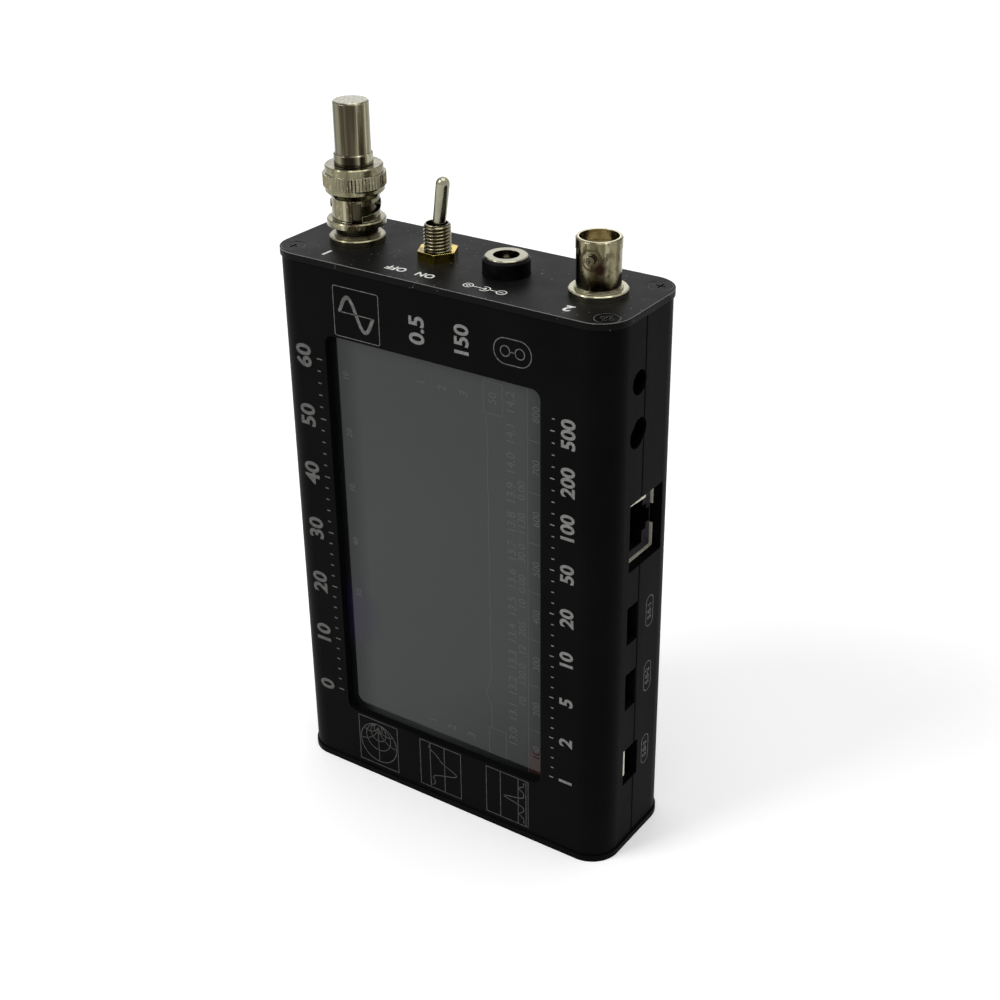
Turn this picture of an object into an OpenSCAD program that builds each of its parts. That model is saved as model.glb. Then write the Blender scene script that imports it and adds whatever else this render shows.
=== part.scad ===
// Handheld antenna analyzer standing on its lower end plate.
// +Z runs up the long side, the screen looks along -Y and the sockets along +X.
// The origin is the middle of the underside of the lower end plate.

/* [Case] */
// Width of the end plates
case_w = 88; // [86:0.5:100]
// Depth of the end plates
case_d = 30; // [30:0.5:36]
// Height over both end plates
case_h = 133; // [133:0.5:150]
// Radius of the rounded corners of the end plates, of the case depth
corner_r_share = 0.2333; // [0.2:0.001:0.266]
// Thickness of an end plate
plate_t = 1.5; // [1.3:0.1:2]
// How far an end plate stands out past the shells
plate_lip = 0.35; // [0.2:0.05:0.5]
// Wall of the extruded half shells
wall = 2; // [1.8:0.1:2.2]
// Distance of the seam in front of the middle, of the case depth
split_front_share = 0.0367; // [0.03:0.0005:0.04]
// Length of the tongue that lines up the half shells
tongue_l = 1.2; // [0.8:0.1:1.5]
// Thickness of that tongue
tongue_t = 0.9; // [0.7:0.1:1.1]

/* [Case screws] */
// Distance of a screw from the side edge of the plate
screw_in_x = 4; // [3.9:0.05:4.1]
// Distance of a screw from the front or rear edge of the plate
screw_in_y = 4.4; // [4.3:0.05:4.5]
// Diameter of a screw shank
screw_d = 2.9; // [2.5:0.1:3]
// Diameter of a countersunk screw head
screw_head_d = 5.3; // [4.8:0.1:5.4]
// Length of a screw
screw_l = 8; // [6:0.5:9]
// Width of the corner rails that take the screws
rail_w = 4.65; // [4.5:0.05:5]
// Depth of the rear corner rails
rear_rail_d = 4.5; // [4.3:0.05:4.6]

/* [Display] */
// Width of the window in the front shell, of the case
window_w_share = 0.64; // [0.6:0.005:0.66]
// Height of the window, of the case
window_h_share = 0.745; // [0.7:0.005:0.76]
// Corner radius of the window
window_r = 2.2; // [1:0.1:4]
// Sideways place of the middle of the window, of the case width
window_x_share = -0.012; // [-0.016:0.001:0]
// Height of the middle of the window, of the case
window_z_share = 0.498; // [0.496:0.001:0.502]
// Width of the touch panel and of the display module, of the case
display_w_share = 0.764; // [0.74:0.001:0.768]
// Height of the touch panel and of the display module, of the case
display_h_share = 0.793; // [0.78:0.001:0.8]
// Thickness of the touch panel, of the case depth
touch_t_share = 0.0367; // [0.03:0.0005:0.043]
// Thickness of the display module, of the case depth
display_t_share = 0.1; // [0.09:0.001:0.105]
// Thickness of the foam tape behind it, of the case depth
tape_t_share = 0.045; // [0.036:0.001:0.05]
// Width of a strip of that tape
tape_w = 8; // [5:0.5:12]

/* [Main board] */
// Thickness of the boards, of the case depth
board_t_share = 0.0533; // [0.047:0.0001:0.0535]
// Height of the main board, of the case
board_h_share = 0.829; // [0.82:0.001:0.834]
// Height of the lower edge of the main board, of the case
board_low_share = 0.083; // [0.08:0.001:0.085]
// Gap between a board edge and the side wall
board_gap = 0.45; // [0.3:0.05:0.8]
// Diameter of a board screw
board_screw_d = 2.4; // [2:0.1:2.5]
// Length of a board screw under its head
board_screw_l = 5; // [4:0.1:5.5]
// Diameter of the head of a board screw
board_screw_head_d = 4; // [3.6:0.1:4.4]
// Height of the head of a board screw
board_screw_head_h = 1.5; // [1.2:0.1:1.8]
// Height of the lower pair of board screws, of the case
board_screw_low_share = 0.109; // [0.107:0.001:0.111]
// Height of the upper pair of board screws, of the case
board_screw_high_share = 0.841; // [0.84:0.0005:0.842]

/* [Audio sockets] */
// Height of the upper audio socket, of the case
audio_high_share = 0.8835; // [0.883:0.0005:0.885]
// Height of the lower audio socket, of the case
audio_low_share = 0.7985; // [0.795:0.0005:0.8]
// Diameter of the bore for a plug
audio_bore_d = 3.6; // [3.5:0.05:3.7]
// Depth of the bore for a plug
audio_bore_l = 14; // [13:0.25:14.5]
// Length of the body of an audio socket
audio_l = 14; // [13.8:0.1:14.5]
// Width of the body
audio_w = 6; // [5.6:0.1:6.2]
// Thickness of an audio socket, of the case depth
audio_t_share = 0.1467; // [0.141:0.0005:0.151]
// Diameter of the metal nose
audio_nose_d = 4.9; // [4.6:0.1:5]
// Diameter of the hole in the shell
audio_hole_d = 5.45; // [5.2:0.05:5.6]
// Shift between the two drillings of the lower hole
audio_slip = 0.55; // [0.3:0.05:0.7]

/* [Network socket] */
// Height of the middle of the network socket, of the case
network_z_share = 0.6173; // [0.61:0.0005:0.62]
// Width of the socket along the case
network_w = 16; // [15.8:0.1:16.4]
// Thickness of the network socket, of the case depth
network_t_share = 0.4467; // [0.434:0.0005:0.4495]
// Length of the socket into the case, of the case width
network_l_share = 0.2215; // [0.21:0.0005:0.23]
// Thickness of the metal shield
shield_t = 0.3; // [0.25:0.05:0.4]
// Width of the plug cavity
network_plug_w = 11.9; // [11.8:0.1:12.2]
// Height of the plug cavity
network_plug_h = 7.2; // [6.8:0.1:7.4]
// Depth of the plug cavity
network_plug_l = 15; // [13:0.5:16]

/* [Data sockets] */
// Height of the middle of the upper micro socket, of the case
micro_high_share = 0.4538; // [0.45:0.0005:0.46]
// Height of the middle of the lower micro socket, of the case
micro_low_share = 0.3244; // [0.32:0.0005:0.33]
// Width of a micro socket
micro_w = 7.6; // [7.4:0.1:7.8]
// Thickness of a micro socket, of the case depth
micro_t_share = 0.0867; // [0.082:0.0005:0.092]
// Length of a micro socket
micro_l = 5.6; // [5:0.1:6]
// Height of the middle of the mini socket, of the case
mini_z_share = 0.1696; // [0.168:0.0005:0.172]
// Width of the mini socket
mini_w = 7.7; // [7.5:0.1:7.9]
// Thickness of the mini socket, of the case depth
mini_t_share = 0.1317; // [0.128:0.0005:0.136]
// Length of the mini socket
mini_l = 9.2; // [8.5:0.1:9.5]
// Height of the hole in the shell at a data socket
data_hole_h = 9.5; // [9:0.1:9.8]
// How far the hole for the mini socket runs behind the middle
mini_hole_rear = 0.5; // [0.2:0.1:0.8]

/* [Plug-on board and battery] */
// Height of a header socket over the main board, of the case depth
header_h_share = 0.2833; // [0.277:0.0005:0.286]
// Spacing of the header pins
header_pitch = 2.54; // [2.5:0.01:2.6]
// Number of pins in a header
header_n = 16; // [8:1:17]
// Distance between the two headers, of the case width
header_gap_share = 0.549; // [0.54:0.001:0.555]
// Width of the plug-on board, of the case
rf_w_share = 0.636; // [0.62:0.001:0.645]
// Height of the plug-on board, of the case
rf_h_share = 0.526; // [0.5:0.001:0.54]
// Sideways place of the middle of the plug-on board, of the case width
rf_x_share = -0.091; // [-0.1:0.001:-0.085]
// Height of the lower edge of the plug-on board, of the case
rf_low_share = 0.2256; // [0.22:0.0005:0.23]
// Height of the screening can, of the case depth
can_t_share = 0.0933; // [0.075:0.0005:0.096]
// Gap between the battery and the screening can in front of it
battery_gap = 0.3; // [0.2:0.05:0.6]
// Width of the battery, of the case
battery_w_share = 0.5; // [0.43:0.005:0.51]
// Height of the battery, of the case
battery_h_share = 0.451; // [0.38:0.001:0.455]
// Thickness of the pad between battery and shell
pad_t = 0.35; // [0.2:0.05:0.4]

/* [Coaxial sockets] */
// Sideways place of the socket that holds the load, of the case width
coax_1_share = -0.3455; // [-0.35:0.0005:-0.34]
// Sideways place of the free socket, of the case width
coax_2_share = 0.3591; // [0.352:0.0005:0.364]
// Diameter of the socket's rim band
coax_rim_d = 9.6; // [9.5:0.02:9.7]
// Diameter of the socket's barrel below the rim band
coax_barrel_d = 9.35; // [9.2:0.05:9.45]
// Height of the rim over the end plate
coax_rim_h = 12.2; // [11.8:0.1:12.6]
// Length of the rim band
coax_band_l = 2.3; // [1.8:0.1:2.4]
// Diameter of the bore at the mouth
coax_bore_d = 8.2; // [8.15:0.05:8.3]
// Diameter of the flange
coax_flange_d = 12.4; // [12:0.1:13]
// Thickness of the flange
coax_flange_t = 1.5; // [1.2:0.1:1.6]
// Height of the bayonet lugs over the end plate
lug_h = 8.5; // [8.5:0.05:8.8]
// Diameter of a bayonet lug
lug_d = 1.9; // [1.7:0.05:1.95]
// Distance across the two lugs
lug_span = 11; // [10.9:0.02:11.06]
// Diameter of the mounting thread
coax_thread_d = 9.4; // [9.2:0.1:9.5]
// Turn of the load socket's lugs from the front
coax_1_turn = 123; // [115:1:130]
// Turn of the free socket's lugs from the front
coax_2_turn = 11; // [0:1:30]

/* [Load plug] */
// Diameter of the cap
cap_d = 7.9; // [7.7:0.1:8.1]
// Height of the cap's top over the end plate
cap_top_h = 31; // [30:0.1:33]
// Diameter of the retaining ring
ring_d = 8.6; // [8.5:0.05:8.8]
// Length of the retaining ring
ring_l = 2.4; // [2:0.1:2.8]
// Outer diameter of the coupling nut's slotted barrel
nut_barrel_d = 10.7; // [10.6:0.05:10.8]
// Bore of the slotted barrel
nut_bore_d = 9.9; // [9.9:0.02:9.98]
// Diameter of the collar at the open end
nut_collar_d = 13.1; // [12.8:0.1:13.4]
// Diameter of the knurled band
knurl_d = 13.9; // [13.6:0.1:14.2]
// Diameter of the shoulder above the knurled band
shoulder_d = 12.8; // [12.6:0.1:13]
// Number of ridges in the knurled band
knurl_n = 56; // [30:1:60]
// Travel of the coupling nut from locked to open, in degrees
bayonet_turn = 83; // [70:1:83]
// Lift of the plug over that travel
bayonet_lift = 0.8; // [0.6:0.05:0.9]
// Width of the bayonet slot
slot_w = 2.24; // [2.2:0.02:2.3]

/* [Toggle switch] */
// Sideways place of the switch, of the case width
switch_share = -0.0966; // [-0.1:0.0005:-0.09]
// Diameter of the bushing
bushing_d = 6; // [5.9:0.05:6.1]
// Height of the bushing over the end plate
bushing_h = 7.7; // [7.2:0.1:8.2]
// Distance across the flats of the nut
switch_nut_w = 8; // [7.8:0.1:8.4]
// Height of the nut
switch_nut_h = 2; // [1.6:0.1:2.2]
// Height of the lever's pivot over the end plate
pivot_h = 3.6; // [3.4:0.1:3.9]
// Length of the lever from its pivot to its tip
lever_l = 14.5; // [12:0.1:16]
// Diameter of the lever at its tip
lever_tip_d = 3; // [2.5:0.05:3.1]
// Diameter of the lever at its pivot
lever_root_d = 2.75; // [2.2:0.05:2.8]
// Lean of the lever at either end of its throw, in degrees
lever_lean = 8; // [6:0.5:8]
// Width of the switch body
switch_w = 13.2; // [12.8:0.1:13.4]
// Depth of the switch body
switch_d = 7.9; // [7.4:0.1:8.2]
// Height of the switch body
switch_h = 9.7; // [9:0.1:9.8]

/* [Charging socket] */
// Sideways place of the charging socket, of the case width
dc_share = 0.1045; // [0.1:0.0005:0.11]
// Diameter of the housing where it passes the end plate
dc_d = 10.2; // [9.8:0.1:10.3]
// Height of the housing over the end plate
dc_h = 3.6; // [3.2:0.1:4.2]
// Diameter of the metal ring on top
dc_ring_d = 9.1; // [8.8:0.1:9.2]
// Thickness of that ring
dc_ring_t = 0.4; // [0.3:0.05:0.6]
// Diameter of the hole for the plug
dc_hole_d = 5.6; // [5.5:0.05:5.7]
// Diameter of the centre pin
dc_pin_d = 2.1; // [2:0.05:2.5]
// Depth of the hole under the end plate's top
dc_depth = 7; // [6:0.1:8]

/* [Clearances] */
// Gap in a fit whose pieces stay still
fit_gap = 0.05; // [0.03:0.01:0.08]
// Gap beside a piece that moves
run_gap = 0.15; // [0.12:0.01:0.16]
// Gap between a socket and its hole in the shell
port_gap = 0.15; // [0.1:0.01:0.2]

/* [Hidden] */
$fn = 48;

// One overrun serves every cut
over = 0.5;

// Sizes and places that follow the case
touch_t = case_d * touch_t_share;
board_t = case_d * board_t_share;
corner_r = case_d * corner_r_share;
split_front = case_d * split_front_share;
display_t = case_d * display_t_share;
tape_t = case_d * tape_t_share;
audio_t = case_d * audio_t_share;
network_t = case_d * network_t_share;
micro_t = case_d * micro_t_share;
mini_t = case_d * mini_t_share;
header_h = case_d * header_h_share;
can_t = case_d * can_t_share;
window_w = case_w * window_w_share;
window_h = case_h * window_h_share;
window_x = case_w * window_x_share;
window_z = case_h * window_z_share;
display_w = case_w * display_w_share;
display_h = case_h * display_h_share;
board_h = case_h * board_h_share;
board_z = case_h * board_low_share;
board_screw_low_z = case_h * board_screw_low_share;
board_screw_high_z = case_h * board_screw_high_share;
audio_high_z = case_h * audio_high_share;
audio_low_z = case_h * audio_low_share;
network_z = case_h * network_z_share;
network_l = case_w * network_l_share;
micro_high_z = case_h * micro_high_share;
micro_low_z = case_h * micro_low_share;
mini_z = case_h * mini_z_share;
header_gap = case_w * header_gap_share;
rf_w = case_w * rf_w_share;
rf_h = case_h * rf_h_share;
rf_x = case_w * rf_x_share;
rf_z = case_h * rf_low_share;
battery_w = case_w * battery_w_share;
battery_h = case_h * battery_h_share;
coax_1_x = case_w * coax_1_share;
coax_2_x = case_w * coax_2_share;
switch_x = case_w * switch_share;
dc_x = case_w * dc_share;

// The shells, measured from the end plates
shell_w = case_w - 2 * plate_lip;
shell_d = case_d - 2 * plate_lip;
shell_r = corner_r - plate_lip;
shell_h = case_h - 2 * plate_t;
side_x = shell_w / 2;
side_in = side_x - wall;
front_in = -shell_d / 2 + wall;
rear_in = shell_d / 2 - wall;
split_y = -split_front;
shell_top = case_h - plate_t;
screw_x = case_w / 2 - screw_in_x;
screw_y = case_d / 2 - screw_in_y;
screw_hole_l = screw_l + plate_t;

// The stack behind the window, from front to rear
display_y = front_in + touch_t;
tape_y = display_y + display_t;
board_y = tape_y + tape_t;
ports_y = board_y + board_t;
board_w = 2 * (side_in - board_gap);
board_screw_x = side_in - rail_w / 2;
board_hole_l = board_screw_l - board_t + fit_gap;

// Ports along the right edge of the board
audio_y = ports_y + audio_t / 2;
audio_x = side_in - fit_gap - audio_l;
audio_nose_l = wall - 2 * fit_gap;
micro_recess = 0.3;
micro_back = wall + micro_recess;
micro_x = side_x - micro_l - micro_back;
mini_recess = 0.6;
mini_back = wall + mini_recess;
mini_x = side_x - mini_l - mini_back;
network_back = wall + fit_gap;
network_x = side_x - network_l - network_back;
network_floor_share = 0.2;
metal_t = 0.3;
socket_floor = 0.8;
port_low_y = ports_y - port_gap;

// The plug-on board sits on the headers
rf_y = ports_y + header_h;
can_y = rf_y + board_t;
header_t = 2.5;
header_l = header_n * header_pitch;
header_z = rf_z + (rf_h - header_l) / 2;
header_x = rf_x;
pin_w = 0.64;
pin_reach_share = 0.7;
pin_hole_w = pin_w + 4 * fit_gap;
battery_t = rear_in - pad_t - can_y - can_t - battery_gap;
battery_y = rear_in - pad_t - battery_t;
battery_z = rf_z + fit_gap;
rf_socket_w = 5;
rf_socket_t_share = 0.1;
rf_socket_t = case_d * rf_socket_t_share;
rf_socket_in = 5;
rf_socket_1_x = rf_x - rf_w / 2 + 2 * rf_socket_in;
rf_socket_2_x = rf_x + rf_w / 2 - 2 * rf_socket_in;
rf_socket_z = rf_z + rf_h - rf_socket_in - rf_socket_w / 2;
charger_w_share = 0.341;
charger_w = case_w * charger_w_share;
charger_h_share = 0.21;
charger_h = case_h * charger_h_share;
charger_t = 1.2;
charger_low_share = 0.098;
charger_low = case_h * charger_low_share;
charger_z = shell_top - charger_low - charger_h;
charger_y = rear_in - charger_t;
lead_d = 1.2;
coax_lead_d = 1.8;

// Coaxial socket, heights over the end plate
coax_bore_floor = 2;
coax_neck_d = 4.7;
coax_neck_top = 6.8;
coax_back = 9;
coax_collar_d = 6.6;
coax_contact_d = 2.1;
coax_contact_bore_d = 1.46;
coax_contact_top = 6.3;
coax_contact_bore_l = 5;
coax_contact_end = 11;
coax_step_d = 10.2;
coax_step_t = 0.4;
edge_cut = 0.25;
lock_t = 0.6;
lock_d = 13;
coax_nut_w = 12;
coax_nut_t = 2.2;

// Load plug, heights over the end plate
nut_low_h = coax_flange_t + 2.5;
collar_t = 1.4;
lip_t = 1.6;
spring_room = 1.55;
chamber_d = 10.9;
flange_d = chamber_d - 2 * run_gap;
flange_t = 1.3;
gasket_t = 0.5;
gasket_low_h = coax_rim_h + run_gap;
flange_low_h = gasket_low_h + gasket_t;
nut_top_h = flange_low_h + flange_t + spring_room + lip_t;
shoulder_l = 1.8;
knurl_l = 2.8;
knurl_top_h = nut_top_h - shoulder_l;
knurl_low_h = knurl_top_h - knurl_l;
bevel_l = 0.4;
band_l = 0.7;
cone_l = 1.4;
band_d = 13.1;
band_top_h = knurl_low_h - bevel_l;
cone_top_h = band_top_h - band_l;
barrel_top_h = cone_top_h - cone_l;
ring_low_h = nut_top_h + run_gap;
neck_d = coax_bore_d - 2 * run_gap;
sleeve_bore_d = coax_neck_d + 2 * run_gap + fit_gap;
sleeve_low_h = 5.6;
spigot_d = 6.4;
spigot_l = 1.6;
cap_wall = 0.7;
cap_edge = 0.35;
pin_d = 1.35;
pin_low_h = 3.2;
pin_low_flange = 0.8;
load_dielectric_low = coax_neck_top + run_gap;
resistor_d = 2.4;
resistor_room_share = 0.77;
resistor_lead_d = 0.7;
load_top_in = cap_top_h - cap_wall;
spigot_top = ring_low_h + ring_l + spigot_l;
slot_deep = nut_barrel_d / 2 - nut_bore_d / 2;
slot_groove_d = lug_span + 2 * run_gap;
entry_top_h = lug_h + slot_w / 2;
slot_steps = 20;
lock_extra = 0.06;
knurl_deep = 0.26;
knurl_seat = 0.1;
wave_n = 3;
wave_t = 0.25;
wave_amp = (spring_room - wave_t - fit_gap - run_gap) / 2;
wave_steps = 36;

// Toggle switch, charging socket
switch_nut_turn = 25;
ball_d = 3.9;
bushing_bore_d = ball_d + 2 * fit_gap;
bushing_mouth_d = 4.8;
pivot_d = 1.1;
pivot_deep = 0.4;
pivot_reach = bushing_bore_d / 2 + pivot_deep;
bushing_wall_in = 0.4;
lever_tail_l = 3;
lever_tail_d = 1.6;
switch_washer_t = 0.6;
switch_washer_d = 9;
switch_top = shell_top - switch_washer_t;
terminal_gap = 4.7;
terminal_w = 2;
terminal_t = 0.75;
terminal_l = 4.5;
dc_flange_t = 1.5;
dc_flange_d = 12;
dc_body_d = 9.8;
dc_body_low = 12;
dc_edge = 0.4;
dc_sleeve_t = 0.6;
dc_terminal_gap = 1.8;

// A rectangle with round corners
module slab_outline(w, d, r) {
    square([w - 2 * r, d], center = true);
    square([w, d - 2 * r], center = true);
    for (x = [-1, 1], y = [-1, 1])
        translate([x * (w / 2 - r), y * (d / 2 - r)])
            circle(r = r);
}

// A box from its low corner and size
module box(at, size) {
    translate(at)
        cube(size);
}

// A cylinder along +Y
module bar_y(at, d, l) {
    translate(at)
        rotate([-90, 0, 0])
            cylinder(d = d, h = l);
}

// A cylinder along +X
module bar_x(at, d, l) {
    translate(at)
        rotate([0, 90, 0])
            cylinder(d = d, h = l);
}

// A disc with its top edge cut at 45 degrees
module edged_disc(d, h, cut) {
    cylinder(d = d, h = h - cut);
    translate([0, 0, h - cut])
        cylinder(d1 = d, d2 = d - 2 * cut, h = cut);
}

// Places a child over the top end plate, turned from the front
module on_top(x, turn = 0) {
    translate([x, 0, case_h])
        rotate([0, 0, turn])
            children();
}

// Rows of the holes in the right wall: middle height, height, rear edge
port_holes = [
    [network_z, network_w + 2 * port_gap, ports_y + network_t + port_gap],
    [micro_high_z, data_hole_h, split_y],
    [micro_low_z, data_hole_h, split_y],
    [mini_z, data_hole_h, mini_hole_rear]
];

// The holes in the right wall, cut through both half shells
module port_cuts() {
    for (hole = port_holes)
        box([side_in - over, port_low_y, hole[0] - hole[1] / 2],
            [wall + 2 * over, hole[2] - port_low_y, hole[1]]);
    bar_x([side_in - over, audio_y, audio_high_z], audio_hole_d, wall + 2 * over);
    for (s = [-1, 1])
        bar_x([side_in - over, audio_y + s * audio_slip, audio_low_z + s * audio_slip],
              audio_hole_d, wall + 2 * over);
}

// The tapped holes for the case screws in a pair of rails
module rail_holes(y) {
    for (x = [-screw_x, screw_x], z = [plate_t - over, shell_top - screw_hole_l + over])
        translate([x, y, z])
            cylinder(d = screw_d + 2 * fit_gap, h = screw_hole_l);
}

// The outline of both shells with their hollow, without rails
module ring_outline() {
    difference() {
        slab_outline(shell_w, shell_d, shell_r);
        slab_outline(shell_w - 2 * wall, shell_d - 2 * wall, shell_r - wall);
    }
}

// The corner rails of one shell, from y0 to y1
module rail_outline(y0, y1) {
    intersection() {
        slab_outline(shell_w, shell_d, shell_r);
        for (x = [-side_x, side_in - rail_w])
            translate([x, y0])
                square([wall + rail_w, y1 - y0]);
    }
}

// The small groove that the half shells' broken edges leave along the seam
seam_w = 0.4;

module seam_groove() {
    for (x = [-side_x, side_x])
        translate([x, split_y])
            rotate([0, 0, 45])
                square(seam_w, center = true);
}

module front_shell() {
    color([0.06, 0.06, 0.065])
        difference() {
            translate([0, 0, plate_t])
                linear_extrude(height = shell_h) {
                    difference() {
                        intersection() {
                            ring_outline();
                            translate([-side_x, -shell_d / 2])
                                square([shell_w, split_y + shell_d / 2]);
                        }
                        seam_groove();
                    }
                    rail_outline(-shell_d / 2, board_y);
                    for (x = [-side_in - tongue_t, side_in])
                        translate([x, split_y - tongue_l])
                            square([tongue_t, 2 * tongue_l]);
                }
            translate([window_x, front_in + over, window_z])
                rotate([90, 0, 0])
                    linear_extrude(height = wall + 2 * over)
                        slab_outline(window_w, window_h, window_r);
            rail_holes(-screw_y);
            for (x = [-board_screw_x, board_screw_x], z = [board_screw_low_z, board_screw_high_z])
                bar_y([x, board_y - board_hole_l, z], board_screw_d + 2 * fit_gap, board_hole_l + over);
            port_cuts();
        }
}

module rear_shell() {
    color([0.06, 0.06, 0.065])
        difference() {
            translate([0, 0, plate_t])
                linear_extrude(height = shell_h) {
                    difference() {
                        intersection() {
                            ring_outline();
                            translate([-side_x, split_y])
                                square([shell_w, shell_d / 2 - split_y]);
                        }
                        seam_groove();
                        for (x = [-side_in - tongue_t - fit_gap, side_in - over])
                            translate([x, split_y - over])
                                square([tongue_t + fit_gap + over, tongue_l + fit_gap + over]);
                    }
                    rail_outline(rear_in - rear_rail_d, shell_d / 2);
                }
            rail_holes(screw_y);
            port_cuts();
        }
}

// An end plate with its countersunk holes, its outer face at z = 0
module end_plate() {
    difference() {
        translate([0, 0, -plate_t])
            linear_extrude(height = plate_t)
                slab_outline(case_w, case_d, corner_r);
        for (x = [-screw_x, screw_x], y = [-screw_y, screw_y])
            translate([x, y, 0]) {
                translate([0, 0, -plate_t - over])
                    cylinder(d = screw_d + 4 * fit_gap, h = plate_t + 2 * over);
                translate([0, 0, -(screw_head_d - screw_d) / 2])
                    cylinder(d1 = screw_d + 2 * (fit_gap + screw_sink), d2 = screw_head_d + 2 * (fit_gap + screw_sink),
                             h = (screw_head_d - screw_d) / 2);
            }
    }
}

module top_plate() {
    color([0.1, 0.1, 0.105])
        difference() {
            translate([0, 0, case_h])
                end_plate();
            for (x = [coax_1_x, coax_2_x])
                translate([x, 0, shell_top - over])
                    cylinder(d = coax_thread_d + 2 * fit_gap, h = plate_t + 2 * over);
            translate([switch_x, 0, shell_top - over])
                cylinder(d = bushing_d + 2 * fit_gap, h = plate_t + 2 * over);
            translate([dc_x, 0, shell_top - over])
                cylinder(d = dc_d + 2 * fit_gap, h = plate_t + 2 * over);
        }
}

module bottom_plate() {
    color([0.1, 0.1, 0.105])
        mirror([0, 0, 1])
            end_plate();
}

// Cross recess sizes of a case screw
recess_w = 0.6;
recess_l = 2.8;
recess_t = 0.9;
screw_sink = 0.1;

// The four screws of an end plate, their heads just under z = 0
module plate_screws() {
    for (x = [-screw_x, screw_x], y = [-screw_y, screw_y])
        translate([x, y, -screw_sink])
            difference() {
                union() {
                    translate([0, 0, -(screw_head_d - screw_d) / 2])
                        cylinder(d1 = screw_d, d2 = screw_head_d, h = (screw_head_d - screw_d) / 2);
                    translate([0, 0, -screw_l])
                        cylinder(d = screw_d, h = screw_l - screw_sink);
                }
                for (turn = [0, 90])
                    rotate([0, 0, turn])
                        translate([-recess_l / 2, -recess_w / 2, -recess_t])
                            cube([recess_l, recess_w, recess_t + over]);
            }
}

module top_screws() {
    color([0.08, 0.08, 0.08])
        translate([0, 0, case_h])
            plate_screws();
}

module bottom_screws() {
    color([0.08, 0.08, 0.08])
        mirror([0, 0, 1])
            plate_screws();
}

// A panel of the display stack, centred on the window
module window_panel(y, t) {
    box([window_x - display_w / 2, y, window_z - display_h / 2], [display_w, t, display_h]);
}

module touch_panel() {
    color([0.2, 0.21, 0.21])
        window_panel(front_in, touch_t);
}

// The lit area of the display and the lip of its metal frame
active_w = 53.9;
active_h = 95;
lip = 0.15;

module display_module() {
    color([0.55, 0.56, 0.58])
        difference() {
            window_panel(display_y, display_t);
            box([window_x - active_w / 2, display_y - over, window_z - active_h / 2],
                [active_w, over + lip, active_h]);
        }
}

module display_tape() {
    color([0.85, 0.84, 0.8])
        for (s = [-1, 1])
            box([window_x + s * (display_w / 2 - tape_w) - tape_w / 2, tape_y, window_z - display_h / 2 + tape_w],
                [tape_w, tape_t, display_h - 2 * tape_w]);
}

module main_board() {
    color([0.03, 0.2, 0.12])
        difference() {
            box([-board_w / 2, board_y, board_z], [board_w, board_t, board_h]);
            for (x = [-board_screw_x, board_screw_x], z = [board_screw_low_z, board_screw_high_z])
                bar_y([x, board_y - over, z], board_screw_d + 2 * fit_gap, board_t + 2 * over);
        }
}

module board_screws() {
    color([0.7, 0.7, 0.72])
        for (x = [-board_screw_x, board_screw_x], z = [board_screw_low_z, board_screw_high_z]) {
            bar_y([x, ports_y - board_screw_l, z], board_screw_d, board_screw_l);
            bar_y([x, ports_y, z], board_screw_head_d, board_screw_head_h);
        }
}

// Chips on the main board: middle x, middle height, width, height, thickness
chips = [[-6, 58, 24, 24, 1.4], [-6, 84, 10, 13, 1.1], [-22, 58, 6, 5, 1.6], [6, 84, 8, 8, 0.9]];

module processor_chips() {
    color([0.05, 0.05, 0.05])
        for (c = chips)
            box([c[0] - c[2] / 2, ports_y, c[1] - c[3] / 2], [c[2], c[4], c[3]]);
}

// An audio socket whose bore opens through its metal nose
module audio_socket(z) {
    color([0.72, 0.7, 0.64])
        difference() {
            union() {
                box([audio_x, ports_y, z - audio_w / 2], [audio_l, audio_t, audio_w]);
                bar_x([audio_x + audio_l - fit_gap, audio_y, z], min(audio_nose_d, audio_t), audio_nose_l);
            }
            bar_x([audio_x + audio_l + audio_nose_l - fit_gap - audio_bore_l, audio_y, z],
                  audio_bore_d, audio_bore_l + over);
        }
}

module audio_socket_upper() {
    audio_socket(audio_high_z);
}

module audio_socket_lower() {
    audio_socket(audio_low_z);
}

// The notch in the shield over the latch
notch_w = 4.8;
notch_l = 1.6;

// The metal shield: a box open towards the plug and the board
module network_shield() {
    color([0.78, 0.78, 0.76])
        difference() {
            box([network_x, ports_y, network_z - network_w / 2], [network_l, network_t, network_w]);
            box([network_x + shield_t, ports_y - over, network_z - network_w / 2 + shield_t],
                [network_l, network_t + over - shield_t, network_w - 2 * shield_t]);
            box([network_x + network_l - notch_l, ports_y + network_t - shield_t - over, network_z - notch_w / 2],
                [notch_l + over, shield_t + 2 * over, notch_w]);
        }
}

// The keyway for the plug's latch: two steps, widths and depths
latch_w = 6.2;
latch_h = 1.6;
latch_tip_w = 3.4;
latch_tip_h = 1.4;
insert_floor = network_t * network_floor_share;
insert_back = 0.6;
contact_well = 0.9;

module network_insert() {
    plug_y = ports_y + insert_floor;
    mouth_x = network_x + network_l - insert_back;
    color([0.05, 0.05, 0.055])
        difference() {
            box([network_x + shield_t + fit_gap, ports_y + fit_gap, network_z - network_w / 2 + shield_t + fit_gap],
                [network_l - shield_t - fit_gap - insert_back, network_t - shield_t - 2 * fit_gap,
                 network_w - 2 * shield_t - 2 * fit_gap]);
            box([mouth_x - network_plug_l, plug_y, network_z - network_plug_w / 2],
                [network_plug_l + over, network_plug_h, network_plug_w]);
            box([mouth_x - network_plug_l, plug_y + network_plug_h - over, network_z - latch_w / 2],
                [network_plug_l + over, latch_h + over, latch_w]);
            box([mouth_x - network_plug_l, plug_y + network_plug_h + latch_h - over, network_z - latch_tip_w / 2],
                [network_plug_l + over, latch_tip_h + over, latch_tip_w]);
        }
}

// Eight spring contacts along the floor of the plug cavity
contact_pitch = 1.02;
contact_w = 0.35;
contact_t = 0.45;

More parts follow.
